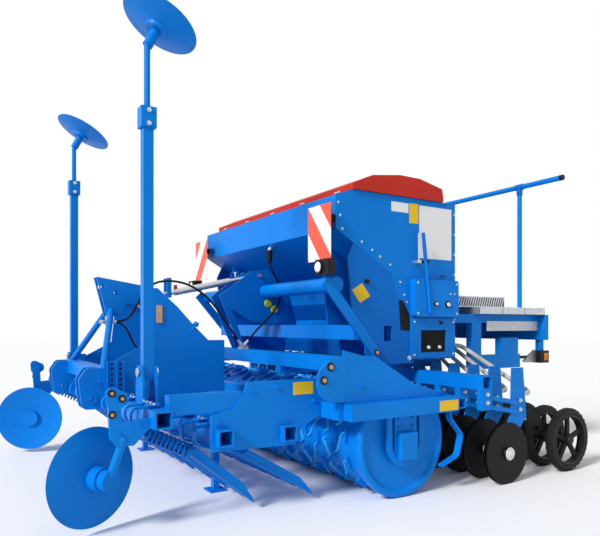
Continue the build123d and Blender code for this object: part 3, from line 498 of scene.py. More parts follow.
# columns: name, places, distance of the face, radius of the head, material, slot
SIDE_BOLTS = (
    ("hopper_seam_bolts", HOPPER_SEAM, HOPPER_END_Y, 0.0060, bright_steel, "zinc"),
    ("meter_seam_bolts", METER_SEAM, HOPPER_END_Y, 0.0060, bright_steel, "zinc"),
    ("foot_bolts", FOOT_BOLTS, HOPPER_END_Y, 0.0125, bright_steel, "zinc"),
    ("strut_bolts", STRUT_BOLTS, STRUT_Y, 0.0125, copper_plate, "zinc"),
    ("lobe_bolts", LOBE_BOLTS, LOBE_Y, 0.0130, copper_plate, "zinc"),
    ("gusset_bolts", GUSSET_BOLTS, GUSSET_Y, 0.0110, blue_paint, "blue_paint"),
    ("side_plate_bolts", SIDE_PLATE_BOLTS, SIDE_PLATE_Y, 0.0120, blue_paint, "blue_paint"),
    ("arm_head_bolts", ARM_HEAD_BOLTS, ARM_HEAD_Y, 0.0090, copper_plate, "zinc"),
    ("disc_arm_bolts", DISC_ARM_BOLTS, DISC_ARM_Y, 0.0090, copper_plate, "zinc"),
    ("disc_arm_pins", ARM_PINS, DISC_ARM_Y, 0.0070, blue_paint, "blue_paint"),
    ("bearing_bolts", BEARING_BOLTS, BEARING_Y, 0.0090, blue_paint, "blue_paint"),
)
# columns: places, distance of the face, radius of the dark washer
DARK_WASHERS = (
    (ARM_HEAD_BOLTS, ARM_HEAD_Y, 0.0165),
    (DISC_ARM_BOLTS, DISC_ARM_Y, 0.0165),
    (LOBE_BOLTS, LOBE_Y, 0.0215),
    (STRUT_BOLTS, STRUT_Y, 0.0195),
)
DARK_WASHER_T = 0.0035


def make_side_bolts():
    """Bolts on both sides of the machine, and dark washers under some of their heads."""
    for name, places, face, size, material, slot in SIDE_BOLTS:
        form = bmesh.new()
        for x, z in places:
            for side in SIDES:
                add_bolt(form, (x, side * face, z), (0, side, 0), size)
        add_piece(name, form, material)
    form = bmesh.new()
    for places, face, size in DARK_WASHERS:
        for place in places:
            add_studs(form, place, face - SEAT, face + DARK_WASHER_T, size)
    add_piece("dark_washers", form, black_plastic)


# Flat plates on both sides, corners in X and Z

GUSSET_LOBE = ((0.395, 0.755), (0.430, 0.765), (0.462, 0.764), (0.500, 0.752), (0.545, 0.718),
               (0.568, 0.680), (0.570, 0.630), (0.555, 0.590), (0.528, 0.562), (0.480, 0.548),
               (0.395, 0.546))
ARM_HEAD = ((1.500, 0.560), (1.520, 0.585), (1.524, 0.640), (1.510, 0.659), (1.488, 0.661),
            (1.436, 0.634), (1.428, 0.616), (1.430, 0.592), (1.446, 0.580), (1.466, 0.560))
# black plate of painted shade, standing for the shaded gap between the tank's foot and the metering unit
FOOT_GAP_PAINTED_SHADE = ((-0.300, 1.088), (-0.336, 1.083), (-0.394, 0.985), (-0.394, 0.893), (-0.316, 0.899))
LAMP_BRACKET = ((-1.662, 0.655), (-1.540, 0.655), (-1.520, 0.668), (-1.640, 0.745), (-1.662, 0.745))
# columns: corners, distances of the two faces
BLANK_LABELS = (
    (((0.485, 0.576), (0.605, 0.576), (0.605, 0.640), (0.485, 0.640)),
     SIDE_PLATE_Y, SIDE_PLATE_Y + LABEL_T),
    (((-0.338, 0.458), (-0.197, 0.458), (-0.197, 0.515), (-0.338, 0.515)),
     ROLLER_ARM_Y, ROLLER_ARM_Y + LABEL_T),
    (((0.061, 1.136), (-0.013, 1.179), (-0.074, 1.104), (0.002, 1.060)), *LABEL_REACH),
)
# columns: name, plates, material, slot
FLAT_PLATES = (
    ("gusset_lobes", ((GUSSET_LOBE, GUSSET_Y - 0.010, LOBE_Y),), blue_paint, "blue_paint"),
    ("arm_heads", ((ARM_HEAD, DISC_ARM_Y - 0.004, ARM_HEAD_Y),), blue_paint, "blue_paint"),
    # the foot gap's black plate is painted shade
    ("foot_gap_painted_shade", ((FOOT_GAP_PAINTED_SHADE, *LABEL_REACH),), black_paint, "black_steel"),
    ("side_labels", BLANK_LABELS, yellow_label, "board_white"),
    ("lamp_gussets", ((LAMP_BRACKET, 0.904, 0.916),), dark_steel, "black_steel"),
)


def make_flat_plates():
    for name, plates, material, slot in FLAT_PLATES:
        form = bmesh.new()
        for plate in plates:
            add_plates(form, *plate)
        add_piece(name, form, material)


# Small fittings: blocks on the left, then blocks, caps and bars on both sides or the middle

# columns: name, X, Y, Z, bevel, material, slot
LEFT_BLOCKS = (
    ("type_plate", (-0.758, -0.473), LABEL_REACH, (1.355, 1.690), 0, white_label, "blue_paint"),
    ("small_plate", (-0.380, -0.241), LABEL_REACH, (1.631, 1.691), 0, white_label, "blue_paint"),
    ("yellow_plate", (-0.464, -0.388), LABEL_REACH, (1.570, 1.695), 0, yellow_label, "blue_paint"),
    ("door_panel", (-0.690, -0.475), (PANEL_Y - 0.002, PANEL_Y + 0.004), (0.758, 0.895), 0.0015,
     panel_black, "black_plastic"),
    ("tower_stop", (1.012, 1.050), (0.361, 0.370), (0.940, 1.046), 0.003, copper_plate, "zinc"),
)
# columns: name, X, distances from the machine's middle, Z, bevel, material, slot
SIDE_BLOCKS = (
    ("bearing_covers", (-0.060, 0.060), (1.329, 1.3635), (0.212, 0.358), 0.006, blue_paint, "blue_paint"),
    ("side_reflectors", (-1.735, -1.700), (0.9595, 0.9645), (0.668, 0.722), 0, amber_lens, "board_white"),
    # black sheets behind the step's slotted end plates: painted shade inside the step
    ("step_backs_painted_shade", (-1.286, -0.804), (0.928, 0.9305), (1.054, 1.121), 0, black_paint, "black_steel"),
    ("lamp_legs", (-1.722, -1.674), (0.900, 0.940), (0.738, 0.824), 0.004, blue_paint, "blue_paint"),
)
# columns: name, places in X and Z, distances from the middle, two radii, sides, material, slot
SIDE_CAPS = (
    ("coupling_caps", ((0.148, 1.082), (0.099, 1.042)), (0.0705, 0.082), (0.029, 0.02494), 28,
     green_cap, "board_white"),
    ("foot_knobs", ((-0.046, 1.190),), (HOPPER_END_Y - SEAT, HOPPER_END_Y + 0.022), (0.014, 0.011), 20,
     black_plastic, "black_plastic"),
    ("rail_caps", ((-1.600, 1.966),), (1.160, 1.183), (0.0205, 0.019), 24,
     black_plastic, "black_plastic"),
)
# columns: start, end, two radii, sides
TOWER_HANDLE = (
    ((0.838, 0.356, 0.880), (0.800, 0.356, 0.936), 0.008, 0.008, 16),
    ((0.806, 0.356, 0.927), (0.794, 0.356, 0.945), 0.018, 0.015, 20),
)
FRONT_LENSES = (
    ((0.314, 0.950, 1.2559), (0.320, 0.950, 1.2559), 0.031, 0.024, 32),
    ((0.314, -0.950, 1.2559), (0.320, -0.950, 1.2559), 0.031, 0.024, 32),
)
STRUT_CAP = (((0.800, 0.0, 1.160), (0.800, 0.0, 1.192), 0.013, 0.011, 20),)
STRUT_PIN = (
    ((0.366, 0.0, 1.262), (0.366, 0.0, 1.292), 0.005, 0.005, 12),
    ((0.366, -0.018, 1.293), (0.366, 0.018, 1.293), 0.005, 0.005, 12),
)
HOSE_BOOT = (
    ((0.151, 0.100, 1.452), (0.151, 0.100, 1.400), 0.022, 0.021, 24),
    ((0.151, 0.100, 1.400), (0.151, 0.100, 1.360), 0.021, 0.0115, 24),
)
HINGE_X = 0.068
HINGE_Z = 1.7323
HINGE_HALF = 0.030
LID_HINGES = tuple(
    ((HINGE_X, y - HINGE_HALF, HINGE_Z), (HINGE_X, y + HINGE_HALF, HINGE_Z), 0.006, 0.006, 12)
    for y in (-0.800, -0.400, 0.0, 0.400, 0.800)
)
# columns: name, bars, material, slot
ROUND_FITTINGS = (
    ("lid_hinges", LID_HINGES, bright_steel, "zinc"),
    ("front_lenses", FRONT_LENSES, white_label, "board_white"),
    ("tower_handle", TOWER_HANDLE, blue_paint, "blue_paint"),
    ("strut_cap", STRUT_CAP, red_cover, "red_cover"),
    ("strut_pin", STRUT_PIN, bright_steel, "zinc"),
    ("hose_boot", HOSE_BOOT, black_rubber, "black_plastic"),
)


def make_small_fittings():
    for table, add in ((LEFT_BLOCKS, add_span), (SIDE_BLOCKS, add_side_blocks)):
        for name, xs, ys, zs, bevel, material, slot in table:
            form = bmesh.new()
            add(form, xs, ys, zs)
            if bevel:
                soften(form, bevel)
            add_piece(name, form, material)
    for name, places, reach, radii, sides, material, slot in SIDE_CAPS:
        form = bmesh.new()
        for place in places:
            add_studs(form, place, *reach, *radii, sides)
        add_piece(name, form, material)
    for name, bars, material, slot in ROUND_FITTINGS:
        form = bmesh.new()
        for bar in bars:
            add_round(form, *bar)
        add_piece(name, form, material)


# Drive covers on the left end: rims, bolts, and knobs on dark seals

COVER_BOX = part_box("drive_covers")
COVER_X = (COVER_BOX[0].x, COVER_BOX[1].x)
COVER_Y = COVER_BOX[1].y
DOOR_Y = HOPPER_END_Y + 0.0163
RIM_W = 0.005
RIM_T = 0.003
RIM_X = (COVER_X[0] - RIM_W, COVER_X[1] + RIM_W)
RIM_Y = (HOPPER_END_Y, HOPPER_END_Y + RIM_T)
COVERS_Z = ((0.978, 1.223), (0.715, 0.977))
CREASE_Y = (COVER_Y - SEAT / 2, COVER_Y + 0.0012)
# columns: X, Z
CREASES = (
    ((COVER_X[0] + 0.02, COVER_X[1] - 0.02), (1.204, 1.210)),
    ((-0.440, -0.436), (0.995, 1.206)),
)
# places in X and Z
COVER_BOLTS = ((-0.757, 1.195), (-0.415, 1.195), (-0.757, 1.003), (-0.415, 1.003))
DOOR_BOLTS = ((-0.757, 0.950), (-0.415, 0.950), (-0.757, 0.742), (-0.415, 0.742))
SMALL_BOLTS = ((-0.700, 1.130), (-0.735, 1.130))
PANEL_KNOBS = ((-0.544, 0.787), (-0.640, 0.787))
# columns: places, distance of the face, radius of the head
COVER_BOLT_ROWS = (
    (COVER_BOLTS, COVER_Y, 0.006),
    (DOOR_BOLTS, DOOR_Y, 0.006),
    (SMALL_BOLTS, COVER_Y, 0.005),
)
# columns: X, Z, radius of the knob, radius of its seal
COVER_KNOBS = (
    (-0.571, 1.064, 0.010, 0.0165),
    (-0.676, 1.062, 0.015, 0.024),
)
# columns: low corner, high corner
DARK_TABS = (
    ((-0.660, DOOR_Y - SEAT, 0.934), (-0.634, DOOR_Y + 0.006, 0.954)),
    ((-0.700, HOPPER_END_Y - SEAT, 1.246), (-0.655, HOPPER_END_Y + 0.002, 1.251)),
)


def make_cover_rims():
    """Thin flanges where the two covers meet the hopper's end, and the upper cover's creases."""
    form = bmesh.new()
    for zs in COVERS_Z:
        add_span(form, RIM_X, RIM_Y, zs)
    for xs, zs in CREASES:
        add_span(form, xs, CREASE_Y, zs)
    add_piece("cover_rims", form, blue_paint)


def make_cover_fittings():
    form = bmesh.new()
    for places, face, size in COVER_BOLT_ROWS:
        for x, z in places:
            add_bolt(form, (x, face, z), (0, 1, 0), size)
    add_piece("cover_bolts", form, bright_steel)

    form = bmesh.new()
    for x, z in PANEL_KNOBS:
        add_round(form, (x, PANEL_Y, z), (x, PANEL_Y + 0.013, z), 0.0125, 0.010, sides=24)
    for x, z, radius, _ in COVER_KNOBS:
        add_round(form, (x, COVER_Y, z), (x, COVER_Y + 0.012, z), radius, radius * 0.85, sides=24)
    add_piece("cover_knobs", form, white_label)

    form = bmesh.new()
    for x, z, _, radius in COVER_KNOBS:
        add_round(form, (x, COVER_Y - SEAT, z), (x, COVER_Y + 0.007, z), radius, radius * 0.9, sides=28)
    for low, high in DARK_TABS:
        add_block(form, low, high)
    add_piece("cover_seals", form, black_plastic)


# Crank stowed on the hopper's left end

LEVER_TOP = Vector((-0.453, 0.990, 1.504))
LEVER_FOOT = Vector((-0.511, 0.990, 1.012))
LEVER_WAY = (LEVER_TOP - LEVER_FOOT).normalized()
LEVER_R = 0.0085
STUD_R = 0.012
GRIP_R = 0.0125
GRIP_LENGTH = 0.165
CLIP = LEVER_TOP - LEVER_WAY * 0.175
CLIP_PIN_X = CLIP.x - 0.016
HOOK_ENDS = ((-0.432, 0.972, 1.330), (-0.430, 0.972, 1.505))
HOOK_R = 0.0045
# columns: low corner, high corner
CLIP_JAW = (CLIP + Vector((-0.030, -0.012, -0.008)), CLIP + Vector((0.004, -0.009, 0.008)))
HOOK_FOOT = ((-0.450, HOPPER_END_Y - SEAT, 1.318), (-0.418, 0.978, 1.336))


def make_lever():
    """A bar with a grip, held on a stud, by a clip and behind a hook."""
    form = bmesh.new()
    add_round(form, LEVER_FOOT - LEVER_WAY * 0.012, LEVER_TOP - LEVER_WAY * 0.16, LEVER_R, sides=16)
    stud_end = LEVER_FOOT + Vector((0, 0.012, 0))
    add_round(form, (LEVER_FOOT.x, COVER_Y - SEAT, LEVER_FOOT.z), stud_end, STUD_R)
    add_piece("lever_bar", form, blue_paint)
    form = bmesh.new()
    add_round(form, LEVER_TOP - LEVER_WAY * GRIP_LENGTH, LEVER_TOP, GRIP_R, 0.0115)
    add_round(form, LEVER_TOP - LEVER_WAY * 0.004, LEVER_TOP + LEVER_WAY * 0.004, GRIP_R, 0.009)
    # the grip's darker blue is painted shade
    add_piece("lever_grip", form, painted_shade_blue_paint)
    form = bmesh.new()
    pin_end = (CLIP_PIN_X, CLIP.y + 0.012, CLIP.z)
    add_round(form, (CLIP_PIN_X, HOPPER_END_Y - SEAT, CLIP.z), pin_end, 0.007, sides=16)
    add_block(form, *CLIP_JAW)
    add_piece("lever_clip", form, black_plastic)
    form = bmesh.new()
    add_round(form, *HOOK_ENDS, HOOK_R, sides=12)
    add_block(form, *HOOK_FOOT)
    add_piece("lever_hook", form, bright_steel)


# Roller bearings: a yoke round each square cover

ROLLER_AT = Vector((0, 0, 0.300))
YOKE_INNER_R = 0.096
YOKE_R = 0.130
YOKE_REACH = (1.3165, 1.3330)
YOKE_Z = (ROLLER_AT.z - SEAT, 0.452)


def make_bearing_yokes():
    form = bmesh.new()
    for side in SIDES:
        low, high = (side * y for y in YOKE_REACH)
        section = ((YOKE_INNER_R, low), (YOKE_R, low), (YOKE_R, high), (YOKE_INNER_R, high))
        sheet = form.faces.new([form.verts.new((x, y, ROLLER_AT.z)) for x, y in section])
        bmesh.ops.spin(form, geom=[sheet], cent=ROLLER_AT, axis=(0, 1, 0), dvec=(0, 0, 0),
                       angle=math.pi, steps=24, use_merge=False, use_duplicate=False)
    for xs in ((-YOKE_R, -YOKE_INNER_R), (YOKE_INNER_R, YOKE_R)):
        add_side_blocks(form, xs, YOKE_REACH, YOKE_Z)
    add_piece("bearing_yokes", form, blue_paint)


# Tine clamps: a saddle on each tine's seat, with two bolts

# columns: row, X of the tube, Z of its top, places along one half
TINE_ROWS = (
    ("front", 1.290, 0.550, (0.090, 0.275, 0.560, 0.745, 0.960, 1.060)),
    ("rear", 0.990, 0.440, (0.100, 0.285, 0.430, 0.565, 0.725, 0.905, 1.075)),
)
TINE_T = 0.0103
SADDLE_X = (-0.022, 0.036)
SADDLE_HALF = 0.032
SADDLE_T = 0.008
SADDLE_BOLT_Y = 0.025
SADDLE_BOLT_X = sum(SADDLE_X) / 2


def make_tine_clamps():
    for row, tube_x, tube_top, places in TINE_ROWS:
        saddles = bmesh.new()
        bolts = bmesh.new()
        seat = tube_top + TINE_T
        top = seat + SADDLE_T
        for place in places:
            for side in SIDES:
                y = side * place
                add_block(saddles, (tube_x + SADDLE_X[0], y - SADDLE_HALF, seat),
                          (tube_x + SADDLE_X[1], y + SADDLE_HALF, top))
                for across in (-SADDLE_BOLT_Y, SADDLE_BOLT_Y):
                    add_bolt(bolts, (tube_x + SADDLE_BOLT_X, y + across, top), (0, 0, 1), 0.0075)
        soften(saddles, 0.0015, 1)
        add_piece(f"tine_saddles_{row}", saddles, blue_paint)
        add_piece(f"tine_bolts_{row}", bolts, bright_steel)


# Discs: a ring of bolts and a cap on each hub

def add_bolt_ring(form, middle, level, across, way, angles, radius, size):
    """Bolts on a circle round the middle, looking along the way."""
    for angle in angles:
        turn = math.radians(angle)
        spot = middle + level * (radius * math.cos(turn)) + across * (radius * math.sin(turn))
        add_bolt(form, spot, way, size)


DISC_TOE = math.radians(23.0)
DISC_PLACE = (1.547, 0.985, 0.250)
DISC_FACE = 0.022
DISC_BOLT_ANGLES = (0, 72, 144, 216, 288)


def make_disc_bolts():
    up = Vector((0, 0, 1))
    for side, name in ((1, "left"), (-1, "right")):
        normal = Vector((-math.sin(DISC_TOE), side * math.cos(DISC_TOE), 0))
        face = Vector((DISC_PLACE[0], side * DISC_PLACE[1], DISC_PLACE[2])) + normal * DISC_FACE
        form = bmesh.new()
        add_bolt_ring(form, face, up.cross(normal), up, -normal, DISC_BOLT_ANGLES, 0.040, 0.0085)
        add_round(form, face + normal * SEAT, face - normal * 0.010, 0.020, 0.014, sides=24)
        add_piece(f"disc_bolts_{name}", form, bright_steel, f"front_disc_{name}")


# Marker arms: bolts through the clamps, pivot pins and disc caps

MARKER_X = 1.262
MARKER_Y = 0.869
MARKER_TOE = math.radians(27.0)
MARKER_AXIS = Vector((math.sin(MARKER_TOE), 0, -math.cos(MARKER_TOE)))
MARKER_DISC_X = MARKER_X - 0.050
MARKER_BOLT_ANGLES = (45, 135, 225, 315)
CLAMP_Z = (1.908, 1.972)
CLAMP_HALF = 0.034
PIN_Z = 0.700
PIN_REACH = 0.047
# columns: side, name, height of the disc
MARKERS = (
    (1, "left", 2.390),
    (-1, "right", 2.335),
)


def make_marker_bolts():
    level = Vector((0, 1, 0))
    across = MARKER_AXIS.cross(level)
    for side, name, height in MARKERS:
        y = side * MARKER_Y
        form = bmesh.new()
        for z in CLAMP_Z:
            for face in (1, -1):
                add_bolt(form, (MARKER_X, y + face * CLAMP_HALF, z), (0, face, 0), 0.009)
        add_piece(f"marker_clamp_bolts_{name}", form, bright_steel, f"marker_arm_{name}")
        form = bmesh.new()
        top = Vector((MARKER_DISC_X, y, height)) - MARKER_AXIS * 0.0005
        add_round(form, top, top - MARKER_AXIS * 0.010, 0.026, 0.019, sides=24)
        add_bolt_ring(form, top, level, across, -MARKER_AXIS, MARKER_BOLT_ANGLES, 0.042, 0.0065)
        add_piece(f"marker_disc_cap_{name}", form, bright_steel, f"marker_disc_{name}")
    form = bmesh.new()
    for side in SIDES:
        y = side * MARKER_Y
        for way in (1, -1):
            x = MARKER_X + way * PIN_REACH
            add_round(form, (x - way * 0.002, y, PIN_Z), (x + way * 0.004, y, PIN_Z), 0.021, sides=24)
    add_piece("marker_pin_heads", form, bright_steel)


# Coulters: silver caps on the disc hubs and bolts at the links' ends

ROW_COUNT = 18
ROW_PITCH = 1.0 / 6
ROW_Y = [(number - (ROW_COUNT - 1) / 2) * ROW_PITCH for number in range(ROW_COUNT)]
COULTER_AT = (-0.700, 0.180)
HUB_REACH = 0.033
# columns: X and Z of the pivot, distance of its bolts from the row's middle
LINK_BOLTS = (
    (-0.520, 0.488, 0.020),
    (-0.520, 0.535, 0.020),
    (-0.815, 0.428, 0.012),
    (-0.815, 0.482, 0.012),
)


def make_coulter_caps():
    form = bmesh.new()
    x, z = COULTER_AT
    for y in ROW_Y:
        for side in SIDES:
            face = y + side * HUB_REACH
            seat = (x, face - side * SEAT, z)
            add_round(form, seat, (x, face + side * 0.003, z), 0.038, 0.035, sides=22)
            add_round(form, (x, face, z), (x, face + side * 0.011, z), 0.023, 0.021, sides=6)
            add_round(form, (x, face, z), (x, face + side * 0.014, z), 0.012, 0.011)
    add_piece("coulter_caps", form, cap_silver, "coulter_discs")


def make_link_bolts():
    form = bmesh.new()
    for y in ROW_Y:
        for x, z, reach in LINK_BOLTS:
            for side in SIDES:
                add_bolt(form, (x, y + side * reach, z), (0, side, 0), 0.010)
    add_piece("link_bolts", form, bright_steel)


# Press wheels: shoulder ribs, sidewall rings, hub caps

WHEEL_AT = (-1.290, 0.200)
WHEEL_HALF = 0.026
RIB_COUNT = 30
RIB_R = 0.0035
# columns: distance from the wheel's axle, distance from its middle plane
RIB_LOW = (0.1975, 0.0135)
RIB_HIGH = (0.1855, 0.0250)
# columns: radius of the ring, half its width
WHEEL_RINGS = (
    (0.176, 0.0030),
    (0.152, 0.0040),
)
RING_RISE = 0.0022


def add_ring(form, middle, radius, half, rise, sides=36):
    """Raised ring round an axis along Y."""
    x, y, z = middle
    section = ((radius - half, 0), (radius - half / 2, rise), (radius + half / 2, rise), (radius + half, 0))
    verts = [form.verts.new((x + across, y + up, z)) for across, up in section]
    edges = [form.edges.new(pair) for pair in zip(verts, verts[1:])]
    bmesh.ops.spin(form, geom=verts + edges, cent=middle, axis=(0, 1, 0), dvec=(0, 0, 0),
                   angle=2 * math.pi, steps=sides, use_merge=True, use_duplicate=False)


def make_wheel_trim():
    x, z = WHEEL_AT
    ribs = bmesh.new()
    rings = bmesh.new()
    caps = bmesh.new()
    for y in ROW_Y:
        middle = Vector((x, y, z))
        for side in SIDES:
            for number in range(RIB_COUNT):
                angle = math.radians(360 / RIB_COUNT * number)
                way = Vector((math.cos(angle), 0, math.sin(angle)))
                low, high = (middle + way * radius + Vector((0, side * reach, 0))
                             for radius, reach in (RIB_LOW, RIB_HIGH))
                add_round(ribs, low, high, RIB_R, sides=4)
            face = y + side * WHEEL_HALF
            for radius, half in WHEEL_RINGS:
                add_ring(rings, (x, face, z), radius, half, RING_RISE * side)
            seat = (x, face - side * SEAT, z)
            add_round(caps, seat, (x, face + side * 0.006, z), 0.024, 0.020, sides=18)
            add_round(caps, (x, face, z), (x, face + side * 0.010, z), 0.010, sides=6)
    add_piece("wheel_ribs", ribs, black_rubber, "press_wheels")
    add_piece("wheel_rings", rings, gloss_black, "press_wheels")
    add_piece("wheel_caps", caps, gloss_black, "press_wheels")


# Upper step: slotted end plates

STEP_X = (-1.290, -0.800)
STEP_Z = (1.052, 1.125)
STEP_REACH = (0.930, 0.933)
STEP_EDGE = 0.008
STEP_BARS = 20
BAR_START = 0.010
BAR_PITCH = (STEP_X[1] - STEP_X[0] - 0.030) / STEP_BARS
BAR_LEAN = 0.022
BAR_HALF = 0.005
BAR_Z = (STEP_Z[0] + 0.006, STEP_Z[1] - 0.006)


def make_step_ends():
    form = bmesh.new()
    for zs in ((STEP_Z[1] - STEP_EDGE, STEP_Z[1]), (STEP_Z[0], STEP_Z[0] + STEP_EDGE)):
        add_side_blocks(form, STEP_X, STEP_REACH, zs)
    for number in range(STEP_BARS):
        top = STEP_X[0] + BAR_START + number * BAR_PITCH
        foot = top + BAR_LEAN
        corners = ((foot - BAR_HALF, BAR_Z[0]), (foot + BAR_HALF, BAR_Z[0]),
                   (top + BAR_HALF, BAR_Z[1]), (top - BAR_HALF, BAR_Z[1]))
        add_plates(form, corners, *STEP_REACH)
    add_piece("step_ends", form, pale_zinc)


# Handrail: blue collars on the posts

RAIL_X = -1.600
RAIL_Z = 1.966
POST_Y = 0.820
# height of the collar's lower and upper end over the bar's middle
COLLAR_Z = (-0.060, -0.014)
COLLAR_R = 0.0215


def make_rail_trim():
    form = bmesh.new()
    for side in SIDES:
        y = side * POST_Y
        add_round(form, (RAIL_X, y - 0.030, RAIL_Z), (RAIL_X, y + 0.030, RAIL_Z), 0.0235, sides=24)
        low, high = ((RAIL_X, y, RAIL_Z + z) for z in COLLAR_Z)
        add_round(form, low, high, COLLAR_R, sides=24)
        add_bolt(form, (RAIL_X + COLLAR_R, y, RAIL_Z - 0.042), (1, 0, 0), 0.008)
    # the collars' darker blue is painted shade
    add_piece("rail_collars", form, painted_shade_blue_paint)


# Hopper lid: clips behind

CLIP_X = (-0.6765, -0.672)
CLIP_REACH = (0.600, 0.640)
CLIP_Z = (1.7303, 1.7483)


def make_lid_clips():
    form = bmesh.new()
    add_side_blocks(form, CLIP_X, CLIP_REACH, CLIP_Z)
    add_piece("lid_clips", form, black_plastic, "hopper_lid")


# Tine shares: the thick bar on each tine's long run, tapered to its tip

# columns: row, where the run starts, its tip
SHARE_RUNS = (
    ("front", Vector((1.150, 0, 0.345)), Vector((0.785, 0, 0.046))),
    ("rear", Vector((0.880, 0, 0.300)), Vector((0.445, 0, 0.040))),
)
SHARE_HALF = 0.014
SHARE_RISE = 0.042


def make_shares():
    for (row, start, tip), (_, _, _, places) in zip(SHARE_RUNS, TINE_ROWS):
        way = (tip - start).normalized()
        rise = Vector((-way.z, 0, way.x))
        rise = rise if rise.z > 0 else -rise
        outline = (
            start + way * 0.020,
            start + way * 0.050 + rise * SHARE_RISE,
            tip - way * 0.110 + rise * SHARE_RISE,
            tip - way * 0.010 + rise * 0.010,
            tip - way * 0.002,
        )
        form = bmesh.new()
        for place in places:
            for side in SIDES:
                shift = Vector((0, side * place - SHARE_HALF, 0))
                ring = [form.verts.new(point + shift) for point in outline]
                thicken(form, form.faces.new(ring), Vector((0, 2 * SHARE_HALF, 0)))
        add_piece(f"tine_shares_{row}", form, blue_paint)


# Coil springs behind the front discs' arms, with a cup at each end and a rod through the middle

SPRING_START = (1.318, 1.060, 0.432)
SPRING_END = (1.128, 1.060, 0.336)
SPRING_R = 0.030
SPRING_WIRE = 0.0055
SPRING_TURNS = 9
SPRING_STEPS = 20
CUP_R = 0.036
ROD_R = 0.012


def make_springs():
    form = bmesh.new()
    for side in SIDES:
        start, end = (Vector((x, side * y, z)) for x, y, z in (SPRING_START, SPRING_END))
        axis = (end - start).normalized()
        out = axis.cross(Vector((0, 1, 0))).normalized()
        wire = bmesh.ops.create_circle(form, cap_ends=False, segments=6, radius=SPRING_WIRE)["verts"]
        turn = Matrix((out, axis, out.cross(axis))).transposed().to_4x4()
        bmesh.ops.transform(form, verts=wire, matrix=Matrix.Translation(start + out * SPRING_R) @ turn)
        edges = list(dict.fromkeys(edge for vert in wire for edge in vert.link_edges))
        steps = SPRING_TURNS * SPRING_STEPS
        bmesh.ops.spin(form, geom=wire + edges, cent=start, axis=axis, dvec=(end - start) / steps,
                       angle=2 * math.pi * SPRING_TURNS, steps=steps, use_merge=False,
                       use_duplicate=False)
        add_round(form, start - axis * 0.010, start + axis * 0.002, CUP_R)
        add_round(form, end - axis * 0.002, end + axis * 0.010, CUP_R)
        add_round(form, start - axis * 0.030, end + axis * 0.030, ROD_R, sides=16)
    # the springs' darker blue is painted shade
    add_piece("arm_springs", form, painted_shade_blue_paint)


# Perforated plates with raised edges on the head beam's ends; black discs of painted shade stand for the
# holes

STRIP_X = (1.262, 1.372)
STRIP_Z = (0.535, 0.735)
STRIP_REACH = (0.4665, 0.4735)
STRIP_FACE = STRIP_REACH[1]
EDGE_X = (1.268, 1.304, 1.354)
EDGE_HALF = 0.0025
EDGE_REACH = (STRIP_FACE - 0.002, STRIP_FACE + 0.012)
HOLE_X = (1.284, 1.330)
HOLE_ROWS = 7
HOLE_PITCH = (STRIP_Z[1] - STRIP_Z[0]) / HOLE_ROWS
HOLE_R = 0.0065
HOLE_REACH = (STRIP_FACE - SEAT, STRIP_FACE + 0.0008)


def make_strips():
    form = bmesh.new()
    add_side_blocks(form, STRIP_X, STRIP_REACH, STRIP_Z)
    for x in EDGE_X:
        add_side_blocks(form, (x - EDGE_HALF, x + EDGE_HALF), EDGE_REACH, STRIP_Z)
    add_piece("beam_strips", form, blue_paint)
    # black discs where the holes are: painted shade
    form = bmesh.new()
    for x in HOLE_X:
        for number in range(HOLE_ROWS):
            place = (x, STRIP_Z[0] + (number + 0.5) * HOLE_PITCH)
            add_studs(form, place, *HOLE_REACH, HOLE_R, sides=14)
    add_piece("strip_holes_painted_shade", form, black_plastic)


# Top strut: a fork that guides the hoses

FORK_X = (0.838, 0.868)
PRONG_REACH = (0.028, 0.034)
PRONG_Z = (1.118, 1.235)
FORK_BASE_Y = (-0.034, 0.034)
FORK_BASE_Z = (1.108, 1.120)


def make_strut_fork():
    form = bmesh.new()
    add_side_blocks(form, FORK_X, PRONG_REACH, PRONG_Z)
    add_span(form, FORK_X, FORK_BASE_Y, FORK_BASE_Z)
    soften(form, 0.0015, 1)
    add_piece("strut_fork", form, blue_paint)


# Roller lugs: bent ridges on the drum between the rings of teeth, in a lighter blue of painted highlight

DRUM_R = 0.276
RING_PITCH = 0.131
GAP_COUNT = 18
LUG_COUNT = 12
LUG_SUNK = 0.002
LUG_TALL = 0.016
LUG_W = 0.006
# the long part of a lug covers this angle and leans this far from its middle
LUG_SPAN = 18
LUG_LEAN = 0.018
# its bent ends cover this angle and reach this far along the drum
BEND_SPAN = 3
BEND_REACH = 0.026


def add_ridge(form, angles, ys):
    """Low ridge on the drum from one angle and Y to another."""
    places = []
    for angle, y in zip(angles, ys):
        turn = math.radians(angle)
        out = Vector((math.cos(turn), 0, math.sin(turn)))
        places.append(ROLLER_AT + Vector((0, y, 0)) + out * (DRUM_R - LUG_SUNK))
    low, high = places
    way = (high - low).normalized()
    out = (low + high) / 2 - ROLLER_AT
    out.y = 0
    out = out.normalized()
    across = out.cross(way).normalized() * LUG_W / 2
    ring = [form.verts.new(point) for point in (low - across, high - across, high + across, low + across)]
    thicken(form, form.faces.new(ring), out * LUG_TALL)


def make_roller_lugs():
    form = bmesh.new()
    for gap in range(GAP_COUNT):
        middle = (gap - (GAP_COUNT - 1) / 2) * RING_PITCH
        for number in range(LUG_COUNT):
            start = 360 / LUG_COUNT * (number + gap % 3 / 3)
            end = start + LUG_SPAN
            lean = LUG_LEAN if gap % 2 else -LUG_LEAN
            low, high = middle - lean, middle + lean
            add_ridge(form, (start, end), (low, high))
            add_ridge(form, (end, end + BEND_SPAN), (high, high + BEND_REACH))
            add_ridge(form, (start, start - BEND_SPAN), (low, low - BEND_REACH))
    # the lugs' lighter blue is painted highlight
    add_piece("roller_lugs", form, painted_highlight_blue, "roller")


